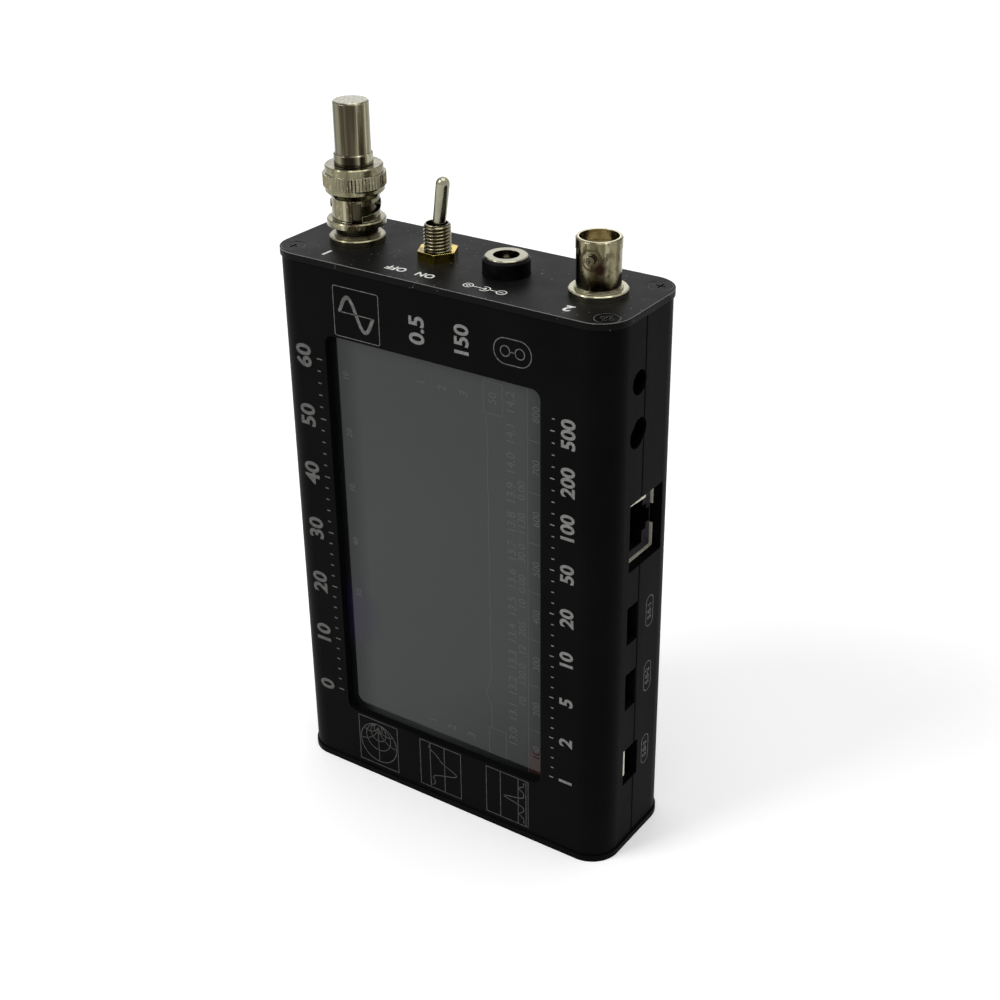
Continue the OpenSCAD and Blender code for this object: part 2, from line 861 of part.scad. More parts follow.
module network_contacts() {
    color([0.85, 0.68, 0.3])
        for (i = [0 : 7])
            box([network_x + network_l - insert_back - network_plug_l + fit_gap, ports_y + insert_floor + fit_gap,
                 network_z + (i - 7 / 2) * contact_pitch - contact_w / 2],
                [network_plug_l * contact_well, contact_t, contact_w]);
}

// The shell of a data socket: a flat metal tube closed at its back
module data_shell(x, z, l, w, t) {
    difference() {
        box([x, ports_y, z - w / 2], [l, t, w]);
        box([x + socket_floor, ports_y + metal_t, z - w / 2 + metal_t], [l, t - 2 * metal_t, w - 2 * metal_t]);
        for (s = [-1, 1])
            translate([x + socket_floor, ports_y + t, z + s * w / 2])
                rotate([s * 45, 0, 0])
                    translate([0, -metal_t, -metal_t])
                        cube([l, 2 * metal_t, 2 * metal_t]);
    }
}

// The tongue that carries the contacts of a data socket
tongue_share = 0.55;
tongue_reach_share = 0.75;
data_tongue_t = 0.7;

module data_tongue(x, z, l, w, t) {
    box([x + socket_floor, ports_y + t / 2 - data_tongue_t / 2, z - w * tongue_share / 2],
        [(l - socket_floor) * tongue_reach_share, data_tongue_t, w * tongue_share]);
}

module micro_socket_shells() {
    color([0.75, 0.75, 0.73])
        for (z = [micro_low_z, micro_high_z])
            data_shell(micro_x, z, micro_l, micro_w, micro_t);
}

module micro_socket_tongues() {
    color([0.05, 0.05, 0.05])
        for (z = [micro_low_z, micro_high_z])
            data_tongue(micro_x, z, micro_l, micro_w, micro_t);
}

module mini_socket_shell() {
    color([0.75, 0.75, 0.73])
        data_shell(mini_x, mini_z, mini_l, mini_w, mini_t);
}

module mini_socket_tongue() {
    color([0.05, 0.05, 0.05])
        data_tongue(mini_x, mini_z, mini_l, mini_w, mini_t);
}

// Places a child at each pin of the two headers
module at_pins() {
    for (s = [-1, 1], i = [0 : header_n - 1])
        translate([header_x + s * header_gap / 2, 0, header_z + (i + 1 / 2) * header_pitch])
            children();
}

module header_sockets() {
    color([0.06, 0.06, 0.06])
        difference() {
            for (s = [-1, 1])
                box([header_x + s * header_gap / 2 - header_t / 2, ports_y, header_z], [header_t, header_h, header_l]);
            at_pins()
                box([-pin_hole_w / 2, rf_y - header_h * pin_reach_share - fit_gap, -pin_hole_w / 2],
                    [pin_hole_w, header_h, pin_hole_w]);
        }
}

module header_pins() {
    color([0.8, 0.66, 0.3]) {
        for (s = [-1, 1])
            box([header_x + s * header_gap / 2 - header_t / 2, can_y, header_z], [header_t, header_t, header_l]);
        at_pins()
            box([-pin_w / 2, rf_y - header_h * pin_reach_share, -pin_w / 2],
                [pin_w, header_h * pin_reach_share + board_t + header_t / 2, pin_w]);
    }
}

module rf_board() {
    color([0.03, 0.2, 0.12])
        difference() {
            box([rf_x - rf_w / 2, rf_y, rf_z], [rf_w, board_t, rf_h]);
            at_pins()
                box([-pin_hole_w / 2, rf_y - over, -pin_hole_w / 2], [pin_hole_w, board_t + 2 * over, pin_hole_w]);
        }
}

// The screening can leaves this margin to the headers
can_margin = 4;
can_wall = 0.3;

module rf_screen() {
    w = header_gap - header_t - 2 * can_margin;
    color([0.8, 0.8, 0.78])
        difference() {
            box([rf_x - w / 2, can_y, header_z + can_margin], [w, can_t, header_l - 2 * can_margin]);
            box([rf_x - w / 2 + can_wall, can_y - over, header_z + can_margin + can_wall],
                [w - 2 * can_wall, can_t + over - can_wall, header_l - 2 * can_margin - 2 * can_wall]);
        }
}

module rf_sockets() {
    color([0.8, 0.68, 0.35])
        for (x = [rf_socket_1_x, rf_socket_2_x])
            box([x - rf_socket_w / 2, can_y, rf_socket_z], [rf_socket_w, rf_socket_t, rf_socket_w]);
}

module battery() {
    color([0.62, 0.64, 0.67])
        box([rf_x - battery_w / 2, battery_y, battery_z], [battery_w, battery_t, battery_h]);
}

module battery_pad() {
    color([0.9, 0.9, 0.86])
        box([rf_x - battery_w / 4, rear_in - pad_t, battery_z + battery_h / 4], [battery_w / 2, pad_t, battery_h / 2]);
}

// Parts on the charger board: middle x, middle height, width, height, thickness shares of its size
charger_part_shares = [[-0.25, 0.3, 0.17, 0.18], [0.2, 0.3, 0.2, 0.2], [0.02, 0.75, 0.2, 0.1]];
charger_part_t = 1.3;

module charger_board() {
    color([0.05, 0.12, 0.35]) {
        box([-charger_w / 2, charger_y, charger_z], [charger_w, charger_t, charger_h]);
        for (c = charger_part_shares)
            box([(c[0] - c[2] / 2) * charger_w, charger_y - charger_part_t, charger_z + (c[1] - c[3] / 2) * charger_h],
                [c[2] * charger_w, charger_part_t + charger_t / 2, c[3] * charger_h]);
    }
}

// A round lead that leaves its lower end upright and eases over to its upper end
lead_rings = 16;
lead_sides = 8;
function unit(v) = v / norm(v);
function ease(t) = t * t * (3 - 2 * t);
function slope(t) = 6 * t * (1 - t);
function lead_point(a, b, t) = [
    a[0] + (b[0] - a[0]) * ease(t),
    a[1] + (b[1] - a[1]) * ease(t),
    a[2] + (b[2] - a[2]) * t
];
function lead_way(a, b, t) = [(b[0] - a[0]) * slope(t), (b[1] - a[1]) * slope(t), b[2] - a[2]];

module eased_lead(a, b, d) {
    points = [
        for (i = [0 : lead_rings], j = [0 : lead_sides - 1])
            let (
                t = i / lead_rings,
                turn = j * 360 / lead_sides,
                u = unit(cross(lead_way(a, b, t), [1, 0, 0])),
                v = unit(cross(lead_way(a, b, t), u))
            )
                lead_point(a, b, t) + (u * cos(turn) + v * sin(turn)) * d / 2
    ];
    sides = [
        for (i = [0 : lead_rings - 1], j = [0 : lead_sides - 1], k = [0, 1])
            let (n = (j + 1) % lead_sides, p = i * lead_sides, q = p + lead_sides)
                k == 0 ? [p + j, q + n, p + n] : [p + j, q + j, q + n]
    ];
    last = lead_rings * lead_sides;
    caps = [[for (j = [0 : lead_sides - 1]) j], [for (j = [lead_sides - 1 : -1 : 0]) last + j]];
    polyhedron(points = points, faces = concat(sides, caps));
}

// Rows of leads: sideways place, lower end on the charger board, upper end
switch_lead_z = charger_z + charger_h * 0.62;
dc_lead_z = charger_z + charger_h * 0.62;
lead_rows = [
    [switch_x, switch_lead_z, switch_top - switch_h - terminal_l],
    [switch_x + terminal_gap, switch_lead_z, switch_top - switch_h - terminal_l],
    [dc_x - dc_terminal_gap, dc_lead_z, shell_top - dc_body_low - terminal_l],
    [dc_x + dc_terminal_gap, dc_lead_z, shell_top - dc_body_low - terminal_l]
];
battery_lead_x = 3;

module power_leads() {
    color([0.6, 0.08, 0.06]) {
        for (r = lead_rows)
            eased_lead([r[0], charger_y - lead_d / 2, r[1]], [r[0], 0, r[2]], lead_d);
        for (s = [-1, 1])
            translate([rf_x + s * battery_lead_x, rear_in - pad_t - lead_d / 2, battery_z + battery_h])
                cylinder(d = lead_d, h = charger_z - battery_z - battery_h);
    }
}

module coax_leads() {
    color([0.25, 0.2, 0.14])
        for (r = [[coax_1_x, rf_socket_1_x], [coax_2_x, rf_socket_2_x]])
            eased_lead([r[1], can_y + rf_socket_t / 2, rf_socket_z + rf_socket_w],
                       [r[0], 0, case_h - coax_contact_end], coax_lead_d);
}

// The two lugs of a coaxial socket on the X axis, each with a dimple in its end
dimple_d = 0.9;
dimple_l = 0.4;
spot_d = 3.2;
spot_deep = 0.18;

module coax_lugs() {
    reach = coax_bore_d / 2 + fit_gap;
    for (turn = [0, 180])
        rotate([0, 0, turn])
            translate([0, 0, lug_h])
                rotate([0, 90, 0])
                    difference() {
                        translate([0, 0, reach])
                            cylinder(d = lug_d, h = lug_span / 2 - reach);
                        translate([0, 0, lug_span / 2 - dimple_l])
                            cylinder(d = dimple_d, h = dimple_l + over);
                    }
}

// The turned body of a coaxial socket
module coax_body() {
    color([0.78, 0.75, 0.66]) {
        coax_lugs();
        difference() {
            union() {
                edged_disc(coax_flange_d, coax_flange_t, edge_cut);
                cylinder(d = coax_step_d, h = coax_flange_t + coax_step_t);
                cylinder(d = coax_barrel_d, h = coax_rim_h - coax_band_l);
                translate([0, 0, coax_rim_h - coax_band_l])
                    edged_disc(coax_rim_d, coax_band_l, edge_cut);
                translate([0, 0, -coax_back])
                    cylinder(d = coax_thread_d, h = coax_back);
            }
            for (turn = [0, 180])
                rotate([0, 0, turn])
                    translate([coax_barrel_d / 2 - spot_deep, 0, lug_h])
                        rotate([0, 90, 0])
                            cylinder(d = spot_d, h = spot_deep + over);
            translate([0, 0, coax_bore_floor])
                cylinder(d = coax_bore_d, h = coax_rim_h);
            translate([0, 0, -coax_back - over])
                cylinder(d = coax_neck_d + 2 * fit_gap, h = coax_back + coax_rim_h);
            translate([0, 0, -coax_back - over])
                cylinder(d = coax_collar_d + 2 * fit_gap, h = coax_back + over);
        }
    }
}

module coax_insulator() {
    color([0.93, 0.93, 0.9])
        difference() {
            union() {
                translate([0, 0, -coax_back])
                    cylinder(d = coax_collar_d, h = coax_back - fit_gap);
                translate([0, 0, -coax_back])
                    cylinder(d = coax_neck_d, h = coax_back + coax_neck_top);
            }
            translate([0, 0, -coax_back - over])
                cylinder(d = coax_contact_d + 2 * fit_gap, h = coax_back + coax_neck_top + 2 * over);
        }
}

// The centre contact with its bore, slit across
slit_w = 0.3;

module coax_contact() {
    color([0.86, 0.7, 0.34])
        difference() {
            translate([0, 0, -coax_contact_end])
                cylinder(d = coax_contact_d, h = coax_contact_end + coax_contact_top);
            translate([0, 0, coax_contact_top - coax_contact_bore_l])
                cylinder(d = coax_contact_bore_d, h = coax_contact_bore_l + over);
            box([-coax_contact_d, -slit_w / 2, coax_contact_top - coax_contact_bore_l],
                [2 * coax_contact_d, slit_w, coax_contact_bore_l + over]);
        }
}

module coax_washer() {
    color([0.75, 0.74, 0.7])
        translate([0, 0, -plate_t - lock_t])
            difference() {
                cylinder(d = lock_d, h = lock_t);
                translate([0, 0, -over])
                    cylinder(d = coax_thread_d + 2 * fit_gap, h = lock_t + 2 * over);
            }
}

// A hexagon nut whose corners are rounded by a cone at both faces
module hex_nut(w, h, bore) {
    corner_d = w / cos(30);
    difference() {
        intersection() {
            cylinder(d = corner_d, h = h, $fn = 6);
            cylinder(d1 = corner_d - edge_cut + 2 * h, d2 = corner_d - edge_cut, h = h);
            cylinder(d1 = corner_d - edge_cut, d2 = corner_d - edge_cut + 2 * h, h = h);
        }
        translate([0, 0, -over])
            cylinder(d = bore, h = h + 2 * over);
    }
}

module coax_nut() {
    color([0.78, 0.75, 0.66])
        translate([0, 0, -plate_t - lock_t - coax_nut_t])
            hex_nut(coax_nut_w, coax_nut_t, coax_thread_d + 2 * fit_gap);
}

module coax_1_body() {
    on_top(coax_1_x, coax_1_turn - 90)
        coax_body();
}

module coax_1_insulator() {
    on_top(coax_1_x)
        coax_insulator();
}

module coax_1_contact() {
    on_top(coax_1_x)
        coax_contact();
}

module coax_1_washer() {
    on_top(coax_1_x)
        coax_washer();
}

module coax_1_nut() {
    on_top(coax_1_x)
        coax_nut();
}

module coax_2_body() {
    on_top(coax_2_x, coax_2_turn - 90)
        coax_body();
}

module coax_2_insulator() {
    on_top(coax_2_x)
        coax_insulator();
}

module coax_2_contact() {
    on_top(coax_2_x)
        coax_contact();
}

module coax_2_washer() {
    on_top(coax_2_x)
        coax_washer();
}

module coax_2_nut() {
    on_top(coax_2_x)
        coax_nut();
}

module switch_body() {
    color([0.55, 0.05, 0.04])
        difference() {
            box([switch_x - switch_w / 2, -switch_d / 2, switch_top - switch_h], [switch_w, switch_d, switch_h]);
            translate([switch_x, 0, switch_top - lever_well])
                cylinder(d = switch_d - 2 * wall, h = lever_well + over);
        }
}

// The hollow in the switch body that the lever's tail sweeps
lever_well = 4;

module switch_bushing() {
    h = case_h + bushing_h - switch_top;
    color([0.78, 0.77, 0.74])
        translate([switch_x, 0, switch_top])
            difference() {
                edged_disc(bushing_d, h, edge_cut);
                translate([0, 0, -over])
                    cylinder(d = bushing_bore_d, h = h + 2 * over);
                translate([0, 0, h - bushing_h + pivot_h + ball_d / 4])
                    cylinder(d1 = bushing_bore_d, d2 = bushing_mouth_d, h = bushing_h - pivot_h - ball_d / 4);
                bar_y([0, -pivot_reach - fit_gap, h - bushing_h + pivot_h], pivot_d + 2 * fit_gap,
                    2 * (pivot_reach + fit_gap));
            }
}

// The lever leans on a pin through its ball and carries a tail into the switch body
module switch_lever() {
    tip_r = lever_tip_d / 2;
    color([0.8, 0.79, 0.76])
        translate([switch_x, 0, case_h + pivot_h])
            rotate([0, lever_lean, 0]) {
                sphere(d = ball_d);
                bar_y([0, -pivot_reach, 0], pivot_d, 2 * pivot_reach);
                cylinder(d1 = lever_root_d, d2 = lever_tip_d, h = lever_l - tip_r);
                translate([0, 0, lever_l - tip_r])
                    sphere(r = tip_r);
                translate([0, 0, -ball_d / 2 - lever_tail_l])
                    cylinder(d = lever_tail_d, h = ball_d / 2 + lever_tail_l);
            }
}

module switch_nut() {
    color([0.83, 0.66, 0.3])
        on_top(switch_x, switch_nut_turn - 90)
            hex_nut(switch_nut_w, switch_nut_h, bushing_d + 2 * fit_gap);
}

module switch_washer() {
    color([0.75, 0.74, 0.7])
        translate([switch_x, 0, switch_top])
            difference() {
                cylinder(d = switch_washer_d, h = switch_washer_t);
                translate([0, 0, -over])
                    cylinder(d = bushing_d + 2 * fit_gap, h = switch_washer_t + 2 * over);
            }
}

module switch_terminals() {
    color([0.8, 0.78, 0.7])
        for (i = [-1 : 1])
            box([switch_x + i * terminal_gap - terminal_w / 2, -terminal_t / 2, switch_top - switch_h - terminal_l],
                [terminal_w, terminal_t, terminal_l]);
}

module dc_housing() {
    color([0.04, 0.04, 0.045])
        translate([dc_x, 0, case_h])
            difference() {
                union() {
                    translate([0, 0, -plate_t])
                        edged_disc(dc_d, plate_t + dc_h, dc_edge);
                    translate([0, 0, -plate_t - dc_flange_t])
                        cylinder(d = dc_flange_d, h = dc_flange_t);
                    translate([0, 0, -plate_t - dc_body_low])
                        cylinder(d = dc_body_d, h = dc_body_low);
                }
                translate([0, 0, -dc_depth])
                    cylinder(d = dc_hole_d + 2 * dc_sleeve_t + 2 * fit_gap, h = dc_depth + dc_h + over);
                translate([0, 0, -plate_t - dc_body_low + dc_pin_root])
                    cylinder(d = dc_pin_d + 2 * fit_gap, h = dc_body_low);
            }
}

// The pin stands in the floor of the housing and ends below the ring
dc_pin_root = 3;
dc_pin_low = 1.6;

module dc_sleeve() {
    color([0.82, 0.8, 0.74])
        translate([dc_x, 0, case_h])
            difference() {
                union() {
                    translate([0, 0, -dc_depth])
                        cylinder(d = dc_hole_d + 2 * dc_sleeve_t, h = dc_depth + dc_h + dc_ring_t);
                    translate([0, 0, dc_h])
                        edged_disc(dc_ring_d, dc_ring_t, dc_ring_t / 2);
                }
                translate([0, 0, -dc_depth - over])
                    cylinder(d = dc_hole_d, h = dc_depth + dc_h + dc_ring_t + 2 * over);
            }
}

module dc_pin() {
    z0 = -plate_t - dc_body_low + dc_pin_root;
    z1 = dc_h - dc_pin_low - dc_pin_d / 2;
    color([0.8, 0.78, 0.72])
        translate([dc_x, 0, case_h]) {
            translate([0, 0, z0])
                cylinder(d = dc_pin_d, h = z1 - z0);
            translate([0, 0, z1])
                sphere(d = dc_pin_d);
        }
}

module dc_terminals() {
    color([0.8, 0.78, 0.7])
        for (s = [-1, 1])
            box([dc_x + s * dc_terminal_gap - terminal_w / 2, -terminal_t / 2, shell_top - dc_body_low - terminal_l],
                [terminal_w, terminal_t, terminal_l]);
}

// The plug body: contact sleeve, flange inside the coupling nut, neck and spigot
module load_body() {
    flange_top = flange_low_h + flange_t;
    color([0.78, 0.75, 0.66])
        on_top(coax_1_x)
            difference() {
                union() {
                    translate([0, 0, sleeve_low_h])
                        cylinder(d = neck_d, h = ring_low_h - sleeve_low_h);
                    translate([0, 0, flange_low_h])
                        cylinder(d = flange_d, h = flange_t);
                    translate([0, 0, ring_low_h])
                        cylinder(d = spigot_d, h = spigot_top - ring_low_h);
                }
                translate([0, 0, sleeve_low_h - over])
                    cylinder(d = sleeve_bore_d, h = spigot_top - sleeve_low_h + 2 * over);
            }
}

module load_ring() {
    color([0.8, 0.78, 0.68])
        on_top(coax_1_x)
            translate([0, 0, ring_low_h])
                difference() {
                    edged_disc(ring_d, ring_l, edge_cut);
                    translate([0, 0, -over])
                        cylinder(d = spigot_d + 2 * fit_gap, h = ring_l + 2 * over);
                }
}

module load_cap() {
    low = ring_low_h + ring_l;
    color([0.8, 0.78, 0.68])
        on_top(coax_1_x)
            difference() {
                translate([0, 0, low])
                    edged_disc(cap_d, cap_top_h - low, cap_edge);
                translate([0, 0, low - over])
                    cylinder(d = spigot_d + 2 * fit_gap, h = load_top_in - low + over);
            }
}

// A slot that climbs round the axis, as a ribbon from r0 to r1 between two turns
module ramp_cut(turn0, turn1, z0, z1, h, r0, r1) {
    corners = [[r0, -h / 2], [r1, -h / 2], [r1, h / 2], [r0, h / 2]];
    points = [
        for (i = [0 : slot_steps], c = corners)
            let (t = i / slot_steps, a = turn0 + (turn1 - turn0) * t - 90)
                [c[0] * cos(a), c[0] * sin(a), z0 + (z1 - z0) * t + c[1]]
    ];
    sides = [
        for (i = [0 : slot_steps - 1], j = [0 : 3], k = [0, 1])
            let (n = (j + 1) % 4, p = 4 * i, q = p + 4)
                k == 0 ? [p + j, p + n, q + n] : [p + j, q + n, q + j]
    ];
    last = 4 * slot_steps;
    caps = [[3, 2, 1, 0], [last, last + 1, last + 2, last + 3]];
    polyhedron(points = points, faces = concat(sides, caps));
}

// The knurled band: straight ridges all round
module knurl(d, h) {
    linear_extrude(height = h)
        polygon([
            for (i = [0 : 2 * knurl_n - 1])
                let (r = d / 2 - (i % 2) * knurl_deep, a = i * 180 / knurl_n)
                    [r * cos(a), r * sin(a)]
        ]);
}

// The coupling nut: two ramps climb from the entry slots to the lock holes,
// where the socket's lugs lie at rest
module load_coupling_nut() {
    entry_turn = coax_1_turn - bayonet_turn;
    cut_r = slot_groove_d / 2;
    color([0.8, 0.78, 0.68])
        on_top(coax_1_x)
            difference() {
                union() {
                    translate([0, 0, nut_low_h])
                        edged_disc(nut_collar_d, collar_t, edge_cut);
                    translate([0, 0, nut_low_h])
                        cylinder(d = nut_barrel_d, h = nut_top_h - nut_low_h);
                    translate([0, 0, barrel_top_h])
                        cylinder(d1 = nut_barrel_d, d2 = band_d, h = cone_top_h - barrel_top_h);
                    translate([0, 0, cone_top_h])
                        cylinder(d = band_d, h = knurl_low_h - cone_top_h);
                    translate([0, 0, band_top_h])
                        cylinder(d1 = band_d, d2 = knurl_d - 2 * knurl_deep - knurl_seat,
                                 h = knurl_low_h - band_top_h);
                    translate([0, 0, knurl_low_h])
                        knurl(knurl_d, knurl_top_h - knurl_low_h);
                    translate([0, 0, knurl_top_h])
                        edged_disc(shoulder_d, nut_top_h - knurl_top_h, edge_cut);
                }
                translate([0, 0, nut_low_h - over])
                    cylinder(d = nut_bore_d, h = flange_low_h - nut_low_h);
                translate([0, 0, flange_low_h - over])
                    cylinder(d = chamber_d, h = nut_top_h - lip_t - flange_low_h + over);
                translate([0, 0, nut_low_h])
                    cylinder(d = neck_d + 2 * run_gap, h = nut_top_h - nut_low_h + over);
                for (side = [0, 180]) {
                    rotate([0, 0, entry_turn - 90 + side])
                        box([0, -slot_w / 2, nut_low_h - over],
                            [cut_r, slot_w, entry_top_h - nut_low_h + over]);
                    rotate([0, 0, side])
                        ramp_cut(entry_turn, coax_1_turn, lug_h - bayonet_lift, lug_h, slot_w,
                                 nut_bore_d / 2 - over, cut_r);
                    rotate([0, 0, coax_1_turn - 90 + side])
                        translate([0, 0, lug_h])
                            rotate([0, 90, 0])
                                cylinder(d = slot_w + 2 * lock_extra, h = cut_r);
                }
            }
}

// A wave washer between the plug's flange and the nut's lip
module load_spring() {
    low = flange_low_h + flange_t + fit_gap + wave_amp;
    r0 = neck_d / 2 + run_gap;
    r1 = flange_d / 2;
    corners = [[r0, 0], [r1, 0], [r1, wave_t], [r0, wave_t]];
    points = [
        for (i = [0 : wave_steps - 1], c = corners)
            let (a = i * 360 / wave_steps)
                [c[0] * cos(a), c[0] * sin(a), low + c[1] + wave_amp * cos(wave_n * a)]
    ];
    faces = [
        for (i = [0 : wave_steps - 1], j = [0 : 3], k = [0, 1])
            let (n = (j + 1) % 4, p = 4 * i, q = 4 * ((i + 1) % wave_steps))
                k == 0 ? [p + j, p + n, q + n] : [p + j, q + n, q + j]
    ];
    color([0.7, 0.7, 0.68])
        on_top(coax_1_x)
            polyhedron(points = points, faces = faces);
}

module load_gasket() {
    color([0.7, 0.2, 0.15])
        on_top(coax_1_x)
            translate([0, 0, gasket_low_h])
                difference() {
                    cylinder(d = coax_rim_d, h = gasket_t);
                    translate([0, 0, -over])
                        cylinder(d = neck_d + 2 * fit_gap, h = gasket_t + 2 * over);
                }
}

module load_insulator() {
    color([0.93, 0.93, 0.9])
        on_top(coax_1_x)
            translate([0, 0, load_dielectric_low])
                difference() {
                    cylinder(d = sleeve_bore_d - 2 * fit_gap, h = spigot_top - load_dielectric_low);
                    translate([0, 0, -over])
                        cylinder(d = pin_d + 2 * fit_gap, h = spigot_top - load_dielectric_low + 2 * over);
                }
}

module load_pin() {
    color([0.86, 0.7, 0.34])
        on_top(coax_1_x) {
            translate([0, 0, pin_low_h])
                cylinder(d = pin_d, h = spigot_top + pin_low_flange - pin_low_h);
            translate([0, 0, pin_low_h])
                sphere(d = pin_d);
        }
}

// The resistor stands on the pin and its upper lead meets the cap
module load_resistor() {
    low = spigot_top + pin_low_flange;
    resistor_l = (load_top_in - low) * resistor_room_share;
    color([0.2, 0.42, 0.6])
        on_top(coax_1_x) {
            translate([0, 0, low])
                cylinder(d = resistor_d, h = resistor_l);
            translate([0, 0, low + resistor_l])
                cylinder(d = resistor_lead_d, h = load_top_in - low - resistor_l);
        }
}

front_shell();
rear_shell();
top_plate();
bottom_plate();
top_screws();
bottom_screws();
touch_panel();
display_module();
display_tape();
main_board();
board_screws();
processor_chips();
audio_socket_upper();
audio_socket_lower();
network_shield();
network_insert();
network_contacts();
micro_socket_shells();
micro_socket_tongues();
mini_socket_shell();
mini_socket_tongue();
header_sockets();
header_pins();
rf_board();
rf_screen();
rf_sockets();
battery();
battery_pad();
charger_board();
power_leads();
coax_leads();
coax_1_body();
coax_1_insulator();
coax_1_contact();
coax_1_washer();
coax_1_nut();
coax_2_body();
coax_2_insulator();
coax_2_contact();
coax_2_washer();
coax_2_nut();
switch_body();
switch_bushing();
switch_lever();
switch_nut();
switch_washer();
switch_terminals();
dc_housing();
dc_sleeve();
dc_pin();
dc_terminals();
load_body();
load_ring();
load_cap();
load_coupling_nut();
load_spring();
load_gasket();
load_insulator();
load_pin();
load_resistor();
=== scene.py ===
import math

import bpy
from mathutils import Matrix, Vector


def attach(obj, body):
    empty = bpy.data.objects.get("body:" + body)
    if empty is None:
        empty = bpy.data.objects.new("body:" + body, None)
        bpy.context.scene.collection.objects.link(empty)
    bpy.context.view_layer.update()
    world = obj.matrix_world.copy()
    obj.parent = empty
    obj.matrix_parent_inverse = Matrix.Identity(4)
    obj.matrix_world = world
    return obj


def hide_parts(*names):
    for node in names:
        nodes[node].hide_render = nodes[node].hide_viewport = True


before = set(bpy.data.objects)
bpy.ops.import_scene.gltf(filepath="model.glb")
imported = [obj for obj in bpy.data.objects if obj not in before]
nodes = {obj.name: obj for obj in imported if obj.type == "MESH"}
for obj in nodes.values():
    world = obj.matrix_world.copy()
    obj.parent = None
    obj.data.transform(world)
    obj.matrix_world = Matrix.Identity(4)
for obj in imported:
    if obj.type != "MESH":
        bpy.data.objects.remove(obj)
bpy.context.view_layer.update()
scene = bpy.context.scene
MM = 0.001


def most(name, axis):
    """The largest x, y or z of a node, for an axis of 0, 1 or 2."""
    return max(v.co[axis] for v in nodes[name].data.vertices)


def axis_of(name):
    """Where a round upright node's axis stands."""
    xs, ys = zip(*((v.co.x, v.co.y) for v in nodes[name].data.vertices))
    return (min(xs) + max(xs)) / 2, (min(ys) + max(ys)) / 2


# Camera at the photograph's viewing angle

CAMERA_AT = (0.19261, -0.26961, 0.25213)
CAMERA_AZIMUTH = math.radians(34.577)
CAMERA_ELEVATION = math.radians(27.926)
CAMERA_ROLL = math.radians(-0.759)
CAMERA_LENS = 59.3
CAMERA_SENSOR = 36
CAMERA_CLIP = 0.01


def make_camera():
    az, el, roll = CAMERA_AZIMUTH, CAMERA_ELEVATION, CAMERA_ROLL
    back = Vector((math.sin(az) * math.cos(el), -math.cos(az) * math.cos(el), math.sin(el)))
    level = Vector((math.cos(az), math.sin(az), 0))
    upright = back.cross(level)
    right = math.cos(roll) * level + math.sin(roll) * upright
    up = -math.sin(roll) * level + math.cos(roll) * upright
    data = bpy.data.cameras.new("camera")
    data.lens = CAMERA_LENS
    data.sensor_width = CAMERA_SENSOR
    data.clip_start = CAMERA_CLIP
    camera = bpy.data.objects.new("camera", data)
    turn = Matrix((right, up, back)).transposed().to_4x4()
    camera.matrix_world = Matrix.Translation(CAMERA_AT) @ turn
    scene.collection.objects.link(camera)
    scene.camera = camera


make_camera()

# Materials

# How round an edge looks, and where it counts as an edge that is tinted with painted
# highlights and wear
SOFT_SAMPLES = 6
EDGE_TINT_SAMPLES = 8
EDGE_FLAT = 0.985
EDGE_SHARP = 0.85
# Noise that makes the outlines of stains and painted bands ragged, and how far the bands are
# drawn out upright
STAIN_AND_BAND_NOISE = 900
HALO_NOISE = 700
BAND_STRETCH = (1, 1, 0.06)
# Where stains and painted bands end and where they are full, as shares of their size
BLOT_CORE = 0.55
HALO_CORE = 0.5
BAND_END = 1.35
BAND_CORE = 0.6
# How ragged a band's sides are, and how soft its upper end
BAND_STRAY = 0.7
BAND_FADE = 0.0006
# Specks lie only where a coarser noise is high
SPECK_CORE = 0.5
SPECK_NOISE = 0.5
SPECK_LOW = 0.52
SPECK_HIGH = 0.6
# The part of a noise's range that changes the gloss
GLOSS_LOW = 0.3
GLOSS_HIGH = 0.7
# How a rim's mask fades, inwards and downwards
RIM_FADE_IN = 0.0003
RIM_FADE_DOWN = 0.0002


